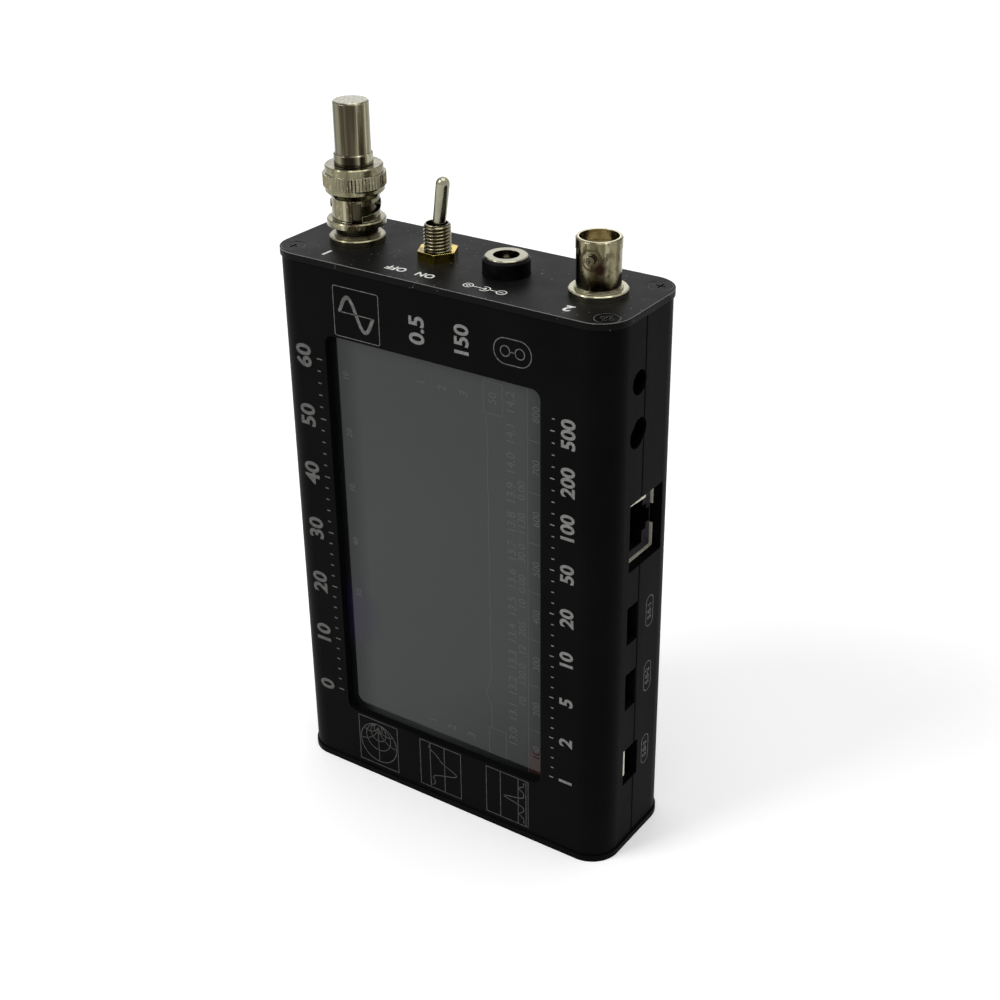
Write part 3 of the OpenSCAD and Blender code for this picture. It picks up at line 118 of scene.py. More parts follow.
class Look:
    """A material with a Principled shader and a few ways to vary it over the surface."""

    def __init__(self, name, color, rough, metal=0.0, specular=0.5):
        self.material = bpy.data.materials.new(name)
        self.material.use_nodes = True
        self.tree = self.material.node_tree
        self.shader = self.tree.nodes["Principled BSDF"]
        self.place = self.tree.nodes.new("ShaderNodeTexCoord").outputs["Object"]
        self.color = color
        self.rough = rough
        self.normal = None
        self.base = None
        self.put("Base Color", (*color, 1))
        self.put("Roughness", rough)
        self.put("Metallic", metal)
        self.put("Specular IOR Level", specular)

    def put(self, socket, value):
        self.shader.inputs[socket].default_value = value
        return self

    def node(self, kind, **values):
        made = self.tree.nodes.new(kind)
        for key, value in values.items():
            setattr(made, key, value)
        return made

    def link(self, a, b):
        self.tree.links.new(a, b)

    def calc(self, operation, a, b=None):
        """Works one operation on numbers or sockets."""
        made = self.node("ShaderNodeMath", operation=operation)
        for socket, value in zip(made.inputs, (a, b)):
            if isinstance(value, (int, float)):
                socket.default_value = value
            elif value is not None:
                self.link(value, socket)
        return made.outputs[0]

    def vector(self, operation, a, b, output):
        """One sum on a vector and a second vector or a constant."""
        made = self.node("ShaderNodeVectorMath", operation=operation)
        self.link(a, made.inputs[0])
        if isinstance(b, tuple):
            made.inputs[1].default_value = b
        else:
            self.link(b, made.inputs[1])
        return made.outputs[output]

    def span(self, value, low, high, to_low=0.0, to_high=1.0):
        """Maps a range of a value to another range, and holds it there."""
        made = self.node("ShaderNodeMapRange")
        keys = ("From Min", "From Max", "To Min", "To Max")
        for key, number in zip(keys, (low, high, to_low, to_high)):
            made.inputs[key].default_value = number
        self.link(value, made.inputs["Value"])
        return made.outputs["Result"]

    def noise(self, scale, stretch=(1, 1, 1), detail=3.0):
        mapping = self.node("ShaderNodeMapping")
        mapping.inputs["Scale"].default_value = stretch
        self.link(self.place, mapping.inputs["Vector"])
        made = self.node("ShaderNodeTexNoise")
        made.inputs["Scale"].default_value = scale
        made.inputs["Detail"].default_value = detail
        self.link(mapping.outputs["Vector"], made.inputs["Vector"])
        return made.outputs["Fac"]

    def parts(self):
        """The place's x, y and z."""
        made = self.node("ShaderNodeSeparateXYZ")
        self.link(self.place, made.inputs["Vector"])
        return made.outputs["X"], made.outputs["Y"], made.outputs["Z"]

    def distance(self, at):
        return self.vector("DISTANCE", self.place, at, "Value")

    def off_axis(self, axis):
        """How far a place lies from an upright axis."""
        flat = self.vector("MULTIPLY", self.place, (1, 1, 0), "Vector")
        return self.vector("DISTANCE", flat, (*axis, 0), "Value")

    def above(self, height, fade, amount=1.0):
        """A mask over what lies above a height."""
        return self.span(self.parts()[2], height, height + fade, 0.0, amount)

    def below(self, height, fade, amount=1.0):
        """A mask over what lies below a height."""
        return self.span(self.parts()[2], height, height - fade, 0.0, amount)

    def rim(self, half_x, half_y, width, low):
        """A mask near the sides of a box round the frame's axis, above a low height."""
        x, y, _ = self.parts()
        past_x = self.calc("SUBTRACT", self.calc("ABSOLUTE", x), half_x)
        past_y = self.calc("SUBTRACT", self.calc("ABSOLUTE", y), half_y)
        near = self.span(self.calc("MAXIMUM", past_x, past_y), -width - RIM_FADE_IN, -width)
        return self.calc("MULTIPLY", near, self.above(low, RIM_FADE_DOWN))

    def tint(self, mask, color):
        """Mixes a second colour in where the mask is high."""
        made = self.node("ShaderNodeMix", data_type="RGBA")
        if self.base is None:
            made.inputs["A"].default_value = (*self.color, 1)
        else:
            self.link(self.base, made.inputs["A"])
        made.inputs["B"].default_value = (*color, 1)
        self.link(mask, made.inputs["Factor"])
        self.base = made.outputs["Result"]
        self.link(self.base, self.shader.inputs["Base Color"])
        return self

    def mottle(self, scale, other, stretch=(1, 1, 1), low=0.35, high=0.65, amount=1.0):
        """Patches of another colour."""
        return self.tint(self.span(self.noise(scale, stretch), low, high, 0.0, amount), other)

    def wear(self, scale, spread, stretch=(1, 1, 1)):
        """Patches of more and less gloss."""
        low, high = self.rough - spread, self.rough + spread
        value = self.span(self.noise(scale, stretch), GLOSS_LOW, GLOSS_HIGH, low, high)
        self.link(value, self.shader.inputs["Roughness"])
        return self

    def bump(self, scale, height, stretch=(1, 1, 1), detail=2.0):
        made = self.node("ShaderNodeBump")
        made.inputs["Strength"].default_value = 1.0
        made.inputs["Distance"].default_value = height
        self.link(self.noise(scale, stretch, detail), made.inputs["Height"])
        if self.normal is not None:
            self.link(self.normal, made.inputs["Normal"])
        self.normal = made.outputs["Normal"]
        self.link(self.normal, self.shader.inputs["Normal"])
        return self

    def bevel(self, radius, samples):
        made = self.node("ShaderNodeBevel", samples=samples)
        made.inputs["Radius"].default_value = radius
        return made.outputs["Normal"]

    def soft_edges(self, radius):
        self.normal = self.bevel(radius, SOFT_SAMPLES)
        self.link(self.normal, self.shader.inputs["Normal"])
        return self

    def edge_glint_and_wear(self, radius, color, amount, where=None):
        """Tints the edges, where a bevelled normal leaves the true one: mostly a painted
        highlight along each edge.
        """
        true = self.node("ShaderNodeNewGeometry").outputs["True Normal"]
        along = self.vector("DOT_PRODUCT", self.bevel(radius, EDGE_TINT_SAMPLES), true, "Value")
        mask = self.span(along, EDGE_FLAT, EDGE_SHARP, 0.0, amount)
        if where is not None:
            mask = self.calc("MULTIPLY", mask, where)
        return self.tint(mask, color)

    def specks(self, scale, size, color, amount):
        """Sparse round specks, such as dust."""
        cells = self.node("ShaderNodeTexVoronoi")
        cells.inputs["Scale"].default_value = scale
        self.link(self.place, cells.inputs["Vector"])
        near = self.span(cells.outputs["Distance"], size, size * SPECK_CORE)
        some = self.span(self.noise(scale * SPECK_NOISE), SPECK_LOW, SPECK_HIGH, 0.0, amount)
        return self.tint(self.calc("MULTIPLY", near, some), color)

    def blot(self, at, radius, color, amount=1.0, ragged=0.5):
        """A stain round a point, with a ragged edge."""
        stray = self.calc("MULTIPLY", self.noise(STAIN_AND_BAND_NOISE, detail=4.0), radius * ragged)
        far = self.calc("ADD", self.distance(at), stray)
        end = radius * (1 + ragged)
        return self.tint(self.span(far, end, radius * BLOT_CORE, 0.0, amount), color)

    def halo(self, at, radius, width, color, amount):
        """A ring-shaped stain round a point."""
        off = self.calc("ABSOLUTE", self.calc("SUBTRACT", self.distance(at), radius))
        off = self.calc("ADD", off, self.calc("MULTIPLY", self.noise(HALO_NOISE), width))
        return self.tint(self.span(off, width, width * HALO_CORE, 0.0, amount), color)

    def band(self, axis, degrees, half, color, amount, top=None):
        """An upright band of painted reflection and shade round an axis, at an angle from the
        front towards the right.
        """
        x, y, _ = self.parts()
        half = math.radians(half)
        across = self.calc("SUBTRACT", x, axis[0])
        ahead = self.calc("SUBTRACT", axis[1], y)
        angle = self.calc("ARCTAN2", across, ahead)
        off = self.calc("ABSOLUTE", self.calc("SUBTRACT", angle, math.radians(degrees)))
        stray = self.calc("MULTIPLY", self.noise(STAIN_AND_BAND_NOISE, BAND_STRETCH), half * BAND_STRAY)
        end = half * BAND_END
        mask = self.span(self.calc("ADD", off, stray), end, end * BAND_CORE, 0.0, amount)
        if top is not None:
            mask = self.calc("MULTIPLY", mask, self.below(top, BAND_FADE))
        return self.tint(mask, color)


def grey(level):
    return (level, level, level)


# Black case, its screws and the plastic parts

CASE_BLACK = (0.0030, 0.0030, 0.0031)
# The top plate's half sizes, how far in its corners reach, and where its pale edge begins: a
# painted highlight along the chamfer, partly bare worn metal
PLATE_HALF = (0.044, 0.015)
RIM_WIDTH = 0.0021
RIM_LOW = 0.1322


def case_look(name, specular):
    look = Look(name, CASE_BLACK, 0.42, specular=specular)
    look.soft_edges(0.00018).bump(5200, 0.000012, detail=1.0)
    look.mottle(60, (0.0048, 0.0048, 0.0049), low=0.3, high=0.8)
    return look.wear(140, 0.04, (1, 1, 0.15))


shell_look = case_look("anodised_case", 0.014)
shell_look.specks(700, 0.05, (0.06, 0.06, 0.057), 0.4)

plate_look = case_look("anodised_plate", 0.04)
plate_look.specks(900, 0.16, (0.20, 0.20, 0.18), 0.9)
plate_look.specks(420, 0.06, (0.30, 0.30, 0.28), 0.8)
# The plate's upper edge is tinted pale: a painted highlight where the edge catches the light,
# partly bare worn metal
plate_rim = plate_look.rim(*PLATE_HALF, RIM_WIDTH, RIM_LOW)
plate_look.edge_glint_and_wear(0.00024, (0.46, 0.46, 0.43), 0.8, plate_rim)

screw_look = Look("black_screw", grey(0.002), 0.3, specular=0.025)
screw_look.soft_edges(0.00008).bump(3000, 0.000015).mottle(900, grey(0.005))
# The screws' pale edges are painted highlights on their rims and crosses
screw_look.edge_glint_and_wear(0.00018, (0.34, 0.34, 0.32), 0.6)

plastic = Look("black_plastic", grey(0.0018), 0.36, specular=0.035)
plastic.soft_edges(0.0001).bump(2600, 0.000012).mottle(300, grey(0.006)).wear(800, 0.06)

socket_look = Look("black_socket", grey(0.0005), 0.6, specular=0.0)
socket_look.bump(2600, 0.00001).mottle(300, grey(0.0015))

# The network socket's front face is tinted lighter than its cavity: a painted highlight
INSERT_FRONT = most("network_insert", 0)
insert_look = Look("black_insert", (0.002, 0.002, 0.0022), 0.3, specular=0.06)
insert_look.bump(2600, 0.000012).mottle(300, grey(0.006))
insert_x = insert_look.parts()[0]
insert_face_highlight = insert_look.span(insert_x, INSERT_FRONT - 0.0002, INSERT_FRONT - 0.0001)
insert_look.tint(insert_face_highlight, (0.035, 0.032, 0.040))

red_plastic = Look("red_plastic", (0.36, 0.03, 0.02), 0.4)
red_plastic.bump(2600, 0.00001).mottle(300, (0.3, 0.02, 0.015))

white_plastic = Look("white_insulator", (0.78, 0.77, 0.72), 0.45)
white_plastic.put("Subsurface Weight", 0.2).put("Subsurface Radius", grey(0.001))
white_plastic.bump(1500, 0.00001).mottle(500, (0.68, 0.66, 0.6))

# Metal parts

NICKEL = (0.20, 0.186, 0.118)
WORN_NICKEL = (0.19, 0.177, 0.110)
# Pale colour for painted highlights along the edges of the plated parts
EDGE_HIGHLIGHT = (0.70, 0.68, 0.55)
LOAD_AXIS = axis_of("load_cap")
FREE_AXIS = axis_of("coax_2_body")
SWITCH_AXIS = axis_of("switch_bushing")
# How much darker the patches on plated metal are, its turning marks, and the upright streaks
# of painted reflection
PATCH_SHARE = 0.78
TURNED = (0.15, 0.15, 14)
REFLECTION_STREAKS = (1, 1, 0.03)


def nickel_look(name, color, rough, rings=True):
    look = Look(name, color, rough, 1.0)
    look.soft_edges(0.0001)
    if rings:
        look.bump(500, 0.00001, TURNED)
    patch = tuple(c * PATCH_SHARE for c in color)
    return look.mottle(420, patch, low=0.35, high=0.75).wear(700, 0.05)


nickel = nickel_look("nickel", NICKEL, 0.24)
nickel_bright = nickel_look("nickel_bright", (0.27, 0.258, 0.19), 0.14)

# The load's cap carries painted reflections: dark and bright upright streaks, and dark and
# bright bands
cap_sheen_and_wear = nickel_look("nickel_worn_and_sheen", WORN_NICKEL, 0.13)
cap_sheen_and_wear.mottle(520, (0.03, 0.026, 0.013), REFLECTION_STREAKS, 0.5, 0.6, 0.85)
cap_sheen_and_wear.mottle(800, (0.42, 0.405, 0.30), REFLECTION_STREAKS, 0.56, 0.64, 0.85)
cap_sheen_and_wear.band(LOAD_AXIS, 26, 27, (0.042, 0.034, 0.022), 0.92)
cap_sheen_and_wear.band(LOAD_AXIS, -12, 12, (0.25, 0.238, 0.168), 0.5)
cap_sheen_and_wear.band(LOAD_AXIS, 64, 8, (0.075, 0.062, 0.036), 0.3)
# Its turned top is tinted paler, with darker scuffs
CAP_TOP = 0.1638
cap_top = cap_sheen_and_wear.above(CAP_TOP, 0.0001)
cap_sheen_and_wear.tint(cap_top, (0.27, 0.258, 0.185))
scuffs = cap_sheen_and_wear.span(cap_sheen_and_wear.noise(1500), 0.5, 0.56, 0.0, 0.75)
cap_sheen_and_wear.tint(cap_sheen_and_wear.calc("MULTIPLY", cap_top, scuffs), (0.09, 0.083, 0.05))
cap_sheen_and_wear.bump(2600, 0.00001, (1, 5, 1))
cap_sheen_and_wear.edge_glint_and_wear(0.00016, EDGE_HIGHLIGHT, 0.8)
# The ring below it gets dark upright bands of painted reflection
RING_TOP = 0.1530
cap_sheen_and_wear.band(LOAD_AXIS, 27, 26, (0.012, 0.009, 0.006), 0.96, RING_TOP)
cap_sheen_and_wear.band(LOAD_AXIS, 61, 7, (0.02, 0.016, 0.01), 0.9, RING_TOP)

# The coupling nut carries painted reflections: upright dark and pale streaks, and on its
# barrel, below the knurl, dark bands beside its slots and a bright band between them
BARREL_TOP = 0.1446
nut_look = nickel_look("nickel_nut", WORN_NICKEL, 0.14)
nut_look.mottle(330, (0.05, 0.044, 0.022), (1, 1, 0.05), 0.48, 0.62, 0.7)
nut_look.band(LOAD_AXIS, 31, 17, (0.022, 0.015, 0.007), 0.95, BARREL_TOP)
nut_look.mottle(1500, (0.30, 0.27, 0.17), (1, 1, 0.6), 0.57, 0.63, 0.65)
nut_look.band(LOAD_AXIS, 11, 4, (0.36, 0.34, 0.25), 0.7, BARREL_TOP)
nut_look.band(LOAD_AXIS, -18, 6, (0.10, 0.09, 0.055), 0.6, BARREL_TOP)
nut_look.band(LOAD_AXIS, 206, 10, (0.035, 0.028, 0.014), 0.85, BARREL_TOP)
nut_look.edge_glint_and_wear(0.00009, EDGE_HIGHLIGHT, 0.7)

bushing_look = nickel_look("bushing_nickel", (0.19, 0.172, 0.104), 0.14, rings=False)
# Dark upright bands of painted reflection on the bushing
bushing_look.band(SWITCH_AXIS, 68, 11, (0.03, 0.025, 0.014), 0.85)
bushing_look.band(SWITCH_AXIS, 22, 14, (0.06, 0.05, 0.028), 0.6)
bushing_look.edge_glint_and_wear(0.0001, EDGE_HIGHLIGHT, 0.8)
# The thread's deep grooves get a dark material: painted shade
groove_shade_look = nickel_look("thread_groove_shade", (0.035, 0.029, 0.016), 0.25, rings=False)

# The holding socket's body is darkened inside the coupling nut, painted shade with some grime;
# its flange is left clean
FLANGE_TOP = 0.13475
grime_and_shade = nickel_look("nickel_grime_and_shade", NICKEL, 0.2)
grime_and_shade.tint(grime_and_shade.above(FLANGE_TOP, 0.0003, 0.85), (0.022, 0.017, 0.010))

tin = nickel_look("tinned_steel", (0.40, 0.39, 0.33), 0.3, rings=False)
pale_tin = Look("pale_tin", (0.74, 0.72, 0.60), 0.45, 0.2)
pale_tin.soft_edges(0.0001).bump(900, 0.00001).mottle(600, (0.58, 0.56, 0.45))
gold = nickel_look("gold_plate", (0.60, 0.42, 0.14), 0.22, rings=False)
frame_metal = nickel_look("display_frame", grey(0.5), 0.4, rings=False)
bare = Look("bare_aluminium", (0.35, 0.35, 0.33), 0.3, 1.0)
bare.bump(900, 0.00001, (1, 8, 1)).mottle(1200, (0.25, 0.25, 0.23))

# The switch's nut has painted shade on its sides, below its top, and painted highlights along
# its edges
NUT_TOP = most("switch_nut", 2)
yellow_nut = nickel_look("yellow_brass", (0.56, 0.415, 0.055), 0.16, rings=False)
yellow_nut.mottle(500, (0.07, 0.048, 0.006), low=0.48, high=0.6, amount=0.8)
yellow_nut.tint(yellow_nut.below(NUT_TOP, 0.0002, 0.6), (0.09, 0.068, 0.006))
yellow_nut.edge_glint_and_wear(0.00018, (0.85, 0.68, 0.20), 0.85)

# The free socket is stained round its front lug and above its flange
LUG = (0.0325, -0.0046, 0.1415)
tarnish_and_sheen = nickel_look("nickel_tarnish_and_sheen", (0.23, 0.21, 0.125), 0.13)
tarnish_and_sheen.mottle(300, (0.07, 0.058, 0.025), (1, 1, 0.12), 0.5, 0.64, 0.7)
# Pale edges are painted highlights, and the upright bands are painted reflections: a bright
# one between dark ones
tarnish_and_sheen.edge_glint_and_wear(0.00014, EDGE_HIGHLIGHT, 0.85)
tarnish_and_sheen.band(FREE_AXIS, 16, 16, (0.06, 0.05, 0.024), 0.75)
tarnish_and_sheen.band(FREE_AXIS, 51, 7, (0.38, 0.36, 0.24), 0.7)
tarnish_and_sheen.band(FREE_AXIS, 84, 10, (0.08, 0.068, 0.035), 0.7)
tarnish_and_sheen.mottle(900, (0.035, 0.026, 0.012), (1, 1, 0.5), 0.54, 0.62, 0.75)
tarnish_and_sheen.halo(LUG, 0.0021, 0.0008, (0.04, 0.031, 0.014), 0.95)
tarnish_and_sheen.halo(LUG, 0.0011, 0.0003, (0.03, 0.024, 0.011), 0.8)
for at, radius, color, amount in (
    ((0.0343, -0.0040, 0.1396), 0.0023, (0.014, 0.007, 0.005), 1.0),
    ((0.0334, -0.0044, 0.1366), 0.0026, (0.014, 0.010, 0.004), 1.0),
    ((0.0352, -0.0030, 0.1362), 0.0020, (0.022, 0.016, 0.007), 0.95),
    (LUG, 0.0007, (0.03, 0.02, 0.01), 0.9),
    ((0.0284, -0.0038, 0.1412), 0.0012, (0.06, 0.05, 0.025), 0.75),
    ((0.0357, -0.0024, 0.1425), 0.0009, (0.07, 0.055, 0.03), 0.7),
):
    tarnish_and_sheen.blot(at, radius, color, amount)
# Its bore and flange are tinted paler
BORE_R = 0.00425
in_bore = tarnish_and_sheen.span(tarnish_and_sheen.off_axis(FREE_AXIS), BORE_R + 0.0002, BORE_R)
tarnish_and_sheen.tint(in_bore, (0.66, 0.60, 0.42))
tarnish_and_sheen.tint(tarnish_and_sheen.below(FLANGE_TOP + 0.0002, 0.0002, 0.8), (0.36, 0.34, 0.24))

# Touch panel and the ghost picture behind it


def glass_look(name, color, other):
    look = Look(name, color, 0.1, specular=0.3)
    return look.mottle(18, other, low=0.3, high=0.7).wear(30, 0.03)


# The picture area is paler than its edges, and a painted darker reflection spreads from a
# lower corner
GLASS_EDGE_AND_DIM_REFLECTION = (0.003, 0.004, 0.004)
DIM_REFLECTION_CORNER = (0.0285, -0.0127, 0.010)
PURPLE_SPOT = (-0.0288, -0.0127, 0.044)
glass = glass_look("touch_panel", (0.030, 0.0335, 0.032), (0.026, 0.0295, 0.028))
off_middle = glass.calc("ABSOLUTE", glass.parts()[0])
glass.tint(glass.span(off_middle, 0.0215, 0.0262, 0.0, 0.9), GLASS_EDGE_AND_DIM_REFLECTION)
glass.tint(glass.span(glass.distance(DIM_REFLECTION_CORNER), 0.034, 0.010, 0.0, 0.8), GLASS_EDGE_AND_DIM_REFLECTION)
glass.blot(PURPLE_SPOT, 0.010, (0.012, 0.009, 0.030), 0.7, 0.2)
ghost = glass_look("display_ghost", (0.064, 0.068, 0.066), (0.046, 0.050, 0.048))
ghost_red = glass_look("display_ghost_red", (0.034, 0.011, 0.009), (0.026, 0.010, 0.009))

# Parts inside

board = Look("solder_mask", (0.012, 0.11, 0.05), 0.3)
board.bump(1400, 0.00003).mottle(700, (0.02, 0.16, 0.075), low=0.5, high=0.54)
charger = Look("charger_mask", (0.015, 0.04, 0.16), 0.3)
charger.bump(1400, 0.00003).mottle(900, (0.02, 0.06, 0.22), low=0.5, high=0.54)
foam = Look("foam_tape", (0.7, 0.69, 0.64), 0.9)
foam.bump(1500, 0.0001).mottle(900, (0.55, 0.54, 0.5))
foil = Look("battery_foil", (0.42, 0.44, 0.47), 0.35, 0.7)
foil.bump(220, 0.0002).mottle(80, (0.36, 0.38, 0.4)).wear(120, 0.08)
lead_look = Look("lead_sleeve", (0.3, 0.03, 0.02), 0.42)
lead_look.bump(1200, 0.00002).mottle(600, (0.22, 0.02, 0.015))
coax_look = Look("coax_sleeve", (0.2, 0.11, 0.05), 0.38)
coax_look.bump(1200, 0.00002).mottle(600, (0.14, 0.08, 0.04))
gasket_look = Look("gasket", (0.3, 0.06, 0.04), 0.6)
gasket_look.bump(1800, 0.00003).mottle(700, (0.22, 0.04, 0.03))
resistor_look = Look("resistor_body", (0.12, 0.3, 0.46), 0.35)
resistor_look.bump(1800, 0.00002).mottle(700, (0.1, 0.25, 0.4))

# Printing inks


def ink_look(name, color, rough, other, low=0.4, high=0.6):
    look = Look(name, color, rough, specular=0.2)
    return look.bump(2500, 0.00001).mottle(1600, other, low=low, high=high)


ink = ink_look("white_ink", (0.22, 0.22, 0.21), 0.55, (0.165, 0.165, 0.157))
faded_ink = ink_look("faded_ink", (0.115, 0.115, 0.109), 0.55, (0.08, 0.08, 0.075))
top_ink = ink_look("top_ink", (0.72, 0.72, 0.69), 0.5, (0.50, 0.50, 0.47), 0.45, 0.65)
fine_ink = ink_look("fine_ink", (0.145, 0.145, 0.137), 0.55, (0.08, 0.08, 0.075))
dim_ink = ink_look("dim_ink", (0.085, 0.085, 0.08), 0.55, (0.05, 0.05, 0.047))

LOOKS = {
    shell_look: ["front_shell", "rear_shell", "bottom_plate"],
    plate_look: ["top_plate"],
    screw_look: ["top_screws", "bottom_screws"],
    glass: ["touch_panel"],
    frame_metal: ["display_module"],
    foam: ["display_tape", "battery_pad"],
    board: ["main_board", "rf_board"],
    charger: ["charger_board"],
    socket_look: ["audio_socket_upper", "audio_socket_lower"],
    plastic: [
        "processor_chips", "micro_socket_tongues", "mini_socket_tongue", "header_sockets",
        "dc_housing",
    ],
    insert_look: ["network_insert"],
    pale_tin: ["network_shield", "mini_socket_shell"],
    tin: ["board_screws", "micro_socket_shells", "rf_screen", "load_spring"],
    gold: [
        "network_contacts", "header_pins", "rf_sockets", "coax_1_contact", "coax_2_contact",
        "load_pin",
    ],
    nickel: [
        "coax_1_washer", "coax_1_nut", "coax_2_washer", "coax_2_nut", "switch_washer",
        "switch_terminals", "dc_pin", "dc_terminals", "load_body", "switch_bushing",
    ],
    nickel_bright: ["switch_lever", "dc_sleeve"],
    cap_sheen_and_wear: ["load_ring", "load_cap"],
    nut_look: ["load_coupling_nut"],
    grime_and_shade: ["coax_1_body"],
    tarnish_and_sheen: ["coax_2_body"],
    yellow_nut: ["switch_nut"],
    red_plastic: ["switch_body"],
    white_plastic: ["coax_1_insulator", "coax_2_insulator", "load_insulator"],
    foil: ["battery"],
    lead_look: ["power_leads"],
    coax_look: ["coax_leads"],
    gasket_look: ["load_gasket"],
    resistor_look: ["load_resistor"],
}
for look, names in LOOKS.items():
    for name in names:
        materials = nodes[name].data.materials
        materials.clear()
        materials.append(look.material)

# Pieces made here


def new_piece(name, verts, faces, look):
    """A piece of the case, from corners in mm."""
    mesh = bpy.data.meshes.new(name)
    mesh.from_pydata([tuple(Vector(v) * MM) for v in verts], [], faces)
    mesh.validate()
    mesh.update()
    mesh.materials.append(look.material)
    piece = bpy.data.objects.new(name, mesh)
    scene.collection.objects.link(piece)
    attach(piece, "case")
    return piece


# How thick the ink is, in mm, and what part of it the ghost picture has
INK_T = 0.02
GHOST_SHARE = 0.2
# The least share of its width by which a stroke's corner is squeezed
MITRE = 0.4
# The turn of words that read up the case, and how finely their curves are cut
UPWARD = math.pi / 2
TEXT_STEPS = 4


class Print:
    """Thin ink strokes and numbers on a flat face, drawn in mm."""

    def __init__(self, to_world):
        self.to_world = to_world
        self.verts = []
        self.faces = []

    def stroke(self, points, width, closed=False):
        n = len(points)
        left, right = [], []
        for i, p in enumerate(points):
            before = points[i - 1] if i or closed else None
            after = points[(i + 1) % n] if i < n - 1 or closed else None
            ways = []
            for a, b in ((before, p), (p, after)):
                if a is not None and b is not None:
                    ways.append((Vector(b) - Vector(a)).normalized())
            way = sum(ways, Vector((0, 0))).normalized()
            side = Vector((-way.y, way.x))
            reach = width / 2 / max(MITRE, side.dot(Vector((-ways[0].y, ways[0].x))))
            left.append(Vector(p) + side * reach)
            right.append(Vector(p) - side * reach)
        start = len(self.verts)
        for a, b in zip(left, right):
            self.verts += [(a.x, a.y, INK_T), (b.x, b.y, INK_T), (b.x, b.y, 0), (a.x, a.y, 0)]
        for i in range(n if closed else n - 1):
            p, q = start + 4 * i, start + 4 * ((i + 1) % n)
            for j in range(4):
                k = (j + 1) % 4
                self.faces.append((p + j, p + k, q + k, q + j))
        if not closed:
            end = start + 4 * (n - 1)
            self.faces.append((start + 3, start + 2, start + 1, start))
            self.faces.append((end, end + 1, end + 2, end + 3))

    def text(self, body, size, at, turn=UPWARD, bold=0.0):
        curve = bpy.data.curves.new("words", "FONT")
        curve.body = body
        curve.size = size
        curve.offset = bold * size
        curve.align_x = "CENTER"
        curve.align_y = "CENTER"
        curve.extrude = INK_T / 2
        curve.resolution_u = TEXT_STEPS
        holder = bpy.data.objects.new("words", curve)
        scene.collection.objects.link(holder)
        bpy.context.view_layer.update()
        mesh = holder.to_mesh()
        start = len(self.verts)
        c, s = math.cos(turn), math.sin(turn)
        for v in mesh.vertices:
            x, y, z = v.co
            self.verts.append((at[0] + c * x - s * y, at[1] + s * x + c * y, z + INK_T / 2))
        self.faces += [tuple(start + i for i in f.vertices) for f in mesh.polygons]
        holder.to_mesh_clear()
        bpy.data.objects.remove(holder)

    def build(self, name, look):
        verts = [self.to_world(*v) for v in self.verts]
        new_piece(name, verts, self.faces, look)


def arc(cx, cy, r, a0, a1, n):
    out = []
    for i in range(n + 1):
        a = math.radians(a0 + (a1 - a0) * i / n)
        out.append((cx + r * math.cos(a), cy + r * math.sin(a)))
    return out


def circle(cx, cy, r, n=20):
    return arc(cx, cy, r, 0, 360, n)[:-1]


def rounded(x0, y0, x1, y1, r, n=8):
    out = []
    corners = ((x1 - r, y1 - r), (x0 + r, y1 - r), (x0 + r, y0 + r), (x1 - r, y0 + r))
    for i, (cx, cy) in enumerate(corners):
        out += arc(cx, cy, r, 90 * i, 90 * (i + 1), n)
    return out


def bell(t, middle, width):
    """A smooth peak of height 1."""
    return math.exp(-((t - middle) / width) ** 2)


def steps(n):
    """Evenly spaced values from 0 to 1."""
    return [i / n for i in range(n + 1)]


# The printed faces, in mm
FRONT_Y = -14.65
SIDE_X = 43.65
TOP_Z = 133.0
PANEL_Y = -12.652


def front(u, v, w):
    return (u, FRONT_Y - w, v)


def side(u, v, w):
    return (SIDE_X + w, u, v)


def top(u, v, w):
    return (-u, -v, TOP_Z + w)


def panel(u, v, w):
    return (u, PANEL_Y - w * GHOST_SHARE, v)


def draw_scale(
    name, look, words, first, step, last, size, word_x, ticks, tick_x, short, tall, width
):
    """A row of numbers and ticks up the front, in place of the maker's words."""
    p = Print(front)
    for i, word in enumerate(words):
        z = first + step * i
        p.text(word, size, (word_x, z), bold=0.03)
        for j in range(ticks):
            tick = z + step * j / ticks
            if tick <= last:
                p.stroke([(tick_x, tick), (tick_x + (short if j else tall), tick)], width)
    p.build(name, look)


def draw_scales():
    draw_scale(
        "scale_left", faded_ink, [str(10 * i) for i in range(7)],
        first=21.5, step=14.65, last=109.6,
        size=5.6, word_x=-35.4, ticks=5, tick_x=-31.9, short=0.9, tall=1.5, width=0.3)
    draw_scale(
        "scale_right", ink, ["1", "2", "5", "10", "20", "50", "100", "200", "500"],
        first=20.4, step=10.9125, last=110.7,
        size=4.6, word_x=34.0, ticks=4, tick_x=30.6, short=-0.7, tall=-1.1, width=0.25)


def draw_upper_row():
    fine = 0.22
    # A wave in a box
    p = Print(front)
    wave_z = 122.15
    p.stroke(rounded(-26.1, 116.4, -13.8, 127.9, 0.5, 6), 0.18, True)
    wave = [(-24.5 + 9.1 * t, wave_z + 3.6 * math.sin(2 * math.pi * t)) for t in steps(32)]
    p.stroke(wave, 0.85)
    p.stroke([(-24.8, wave_z), (-15.1, wave_z)], fine)
    # A pill with two circles
    pill_z = 122.65
    p.stroke(rounded(15.8, 119.8, 25.0, 125.5, 2.8), fine, True)
    for cx in (18.6, 22.2):
        p.stroke(circle(cx, pill_z, 1.15), fine, True)
    p.stroke([(19.75, pill_z), (21.05, pill_z)], fine)
    p.build("marks_upper_fine", fine_ink)
    # Plain numbers
    p = Print(front)
    p.text("0.5", 5.4, (-3.6, 122.3), bold=0.025)
    p.text("150", 5.0, (7.9, 122.3), bold=0.025)
    p.build("marks_upper", ink)


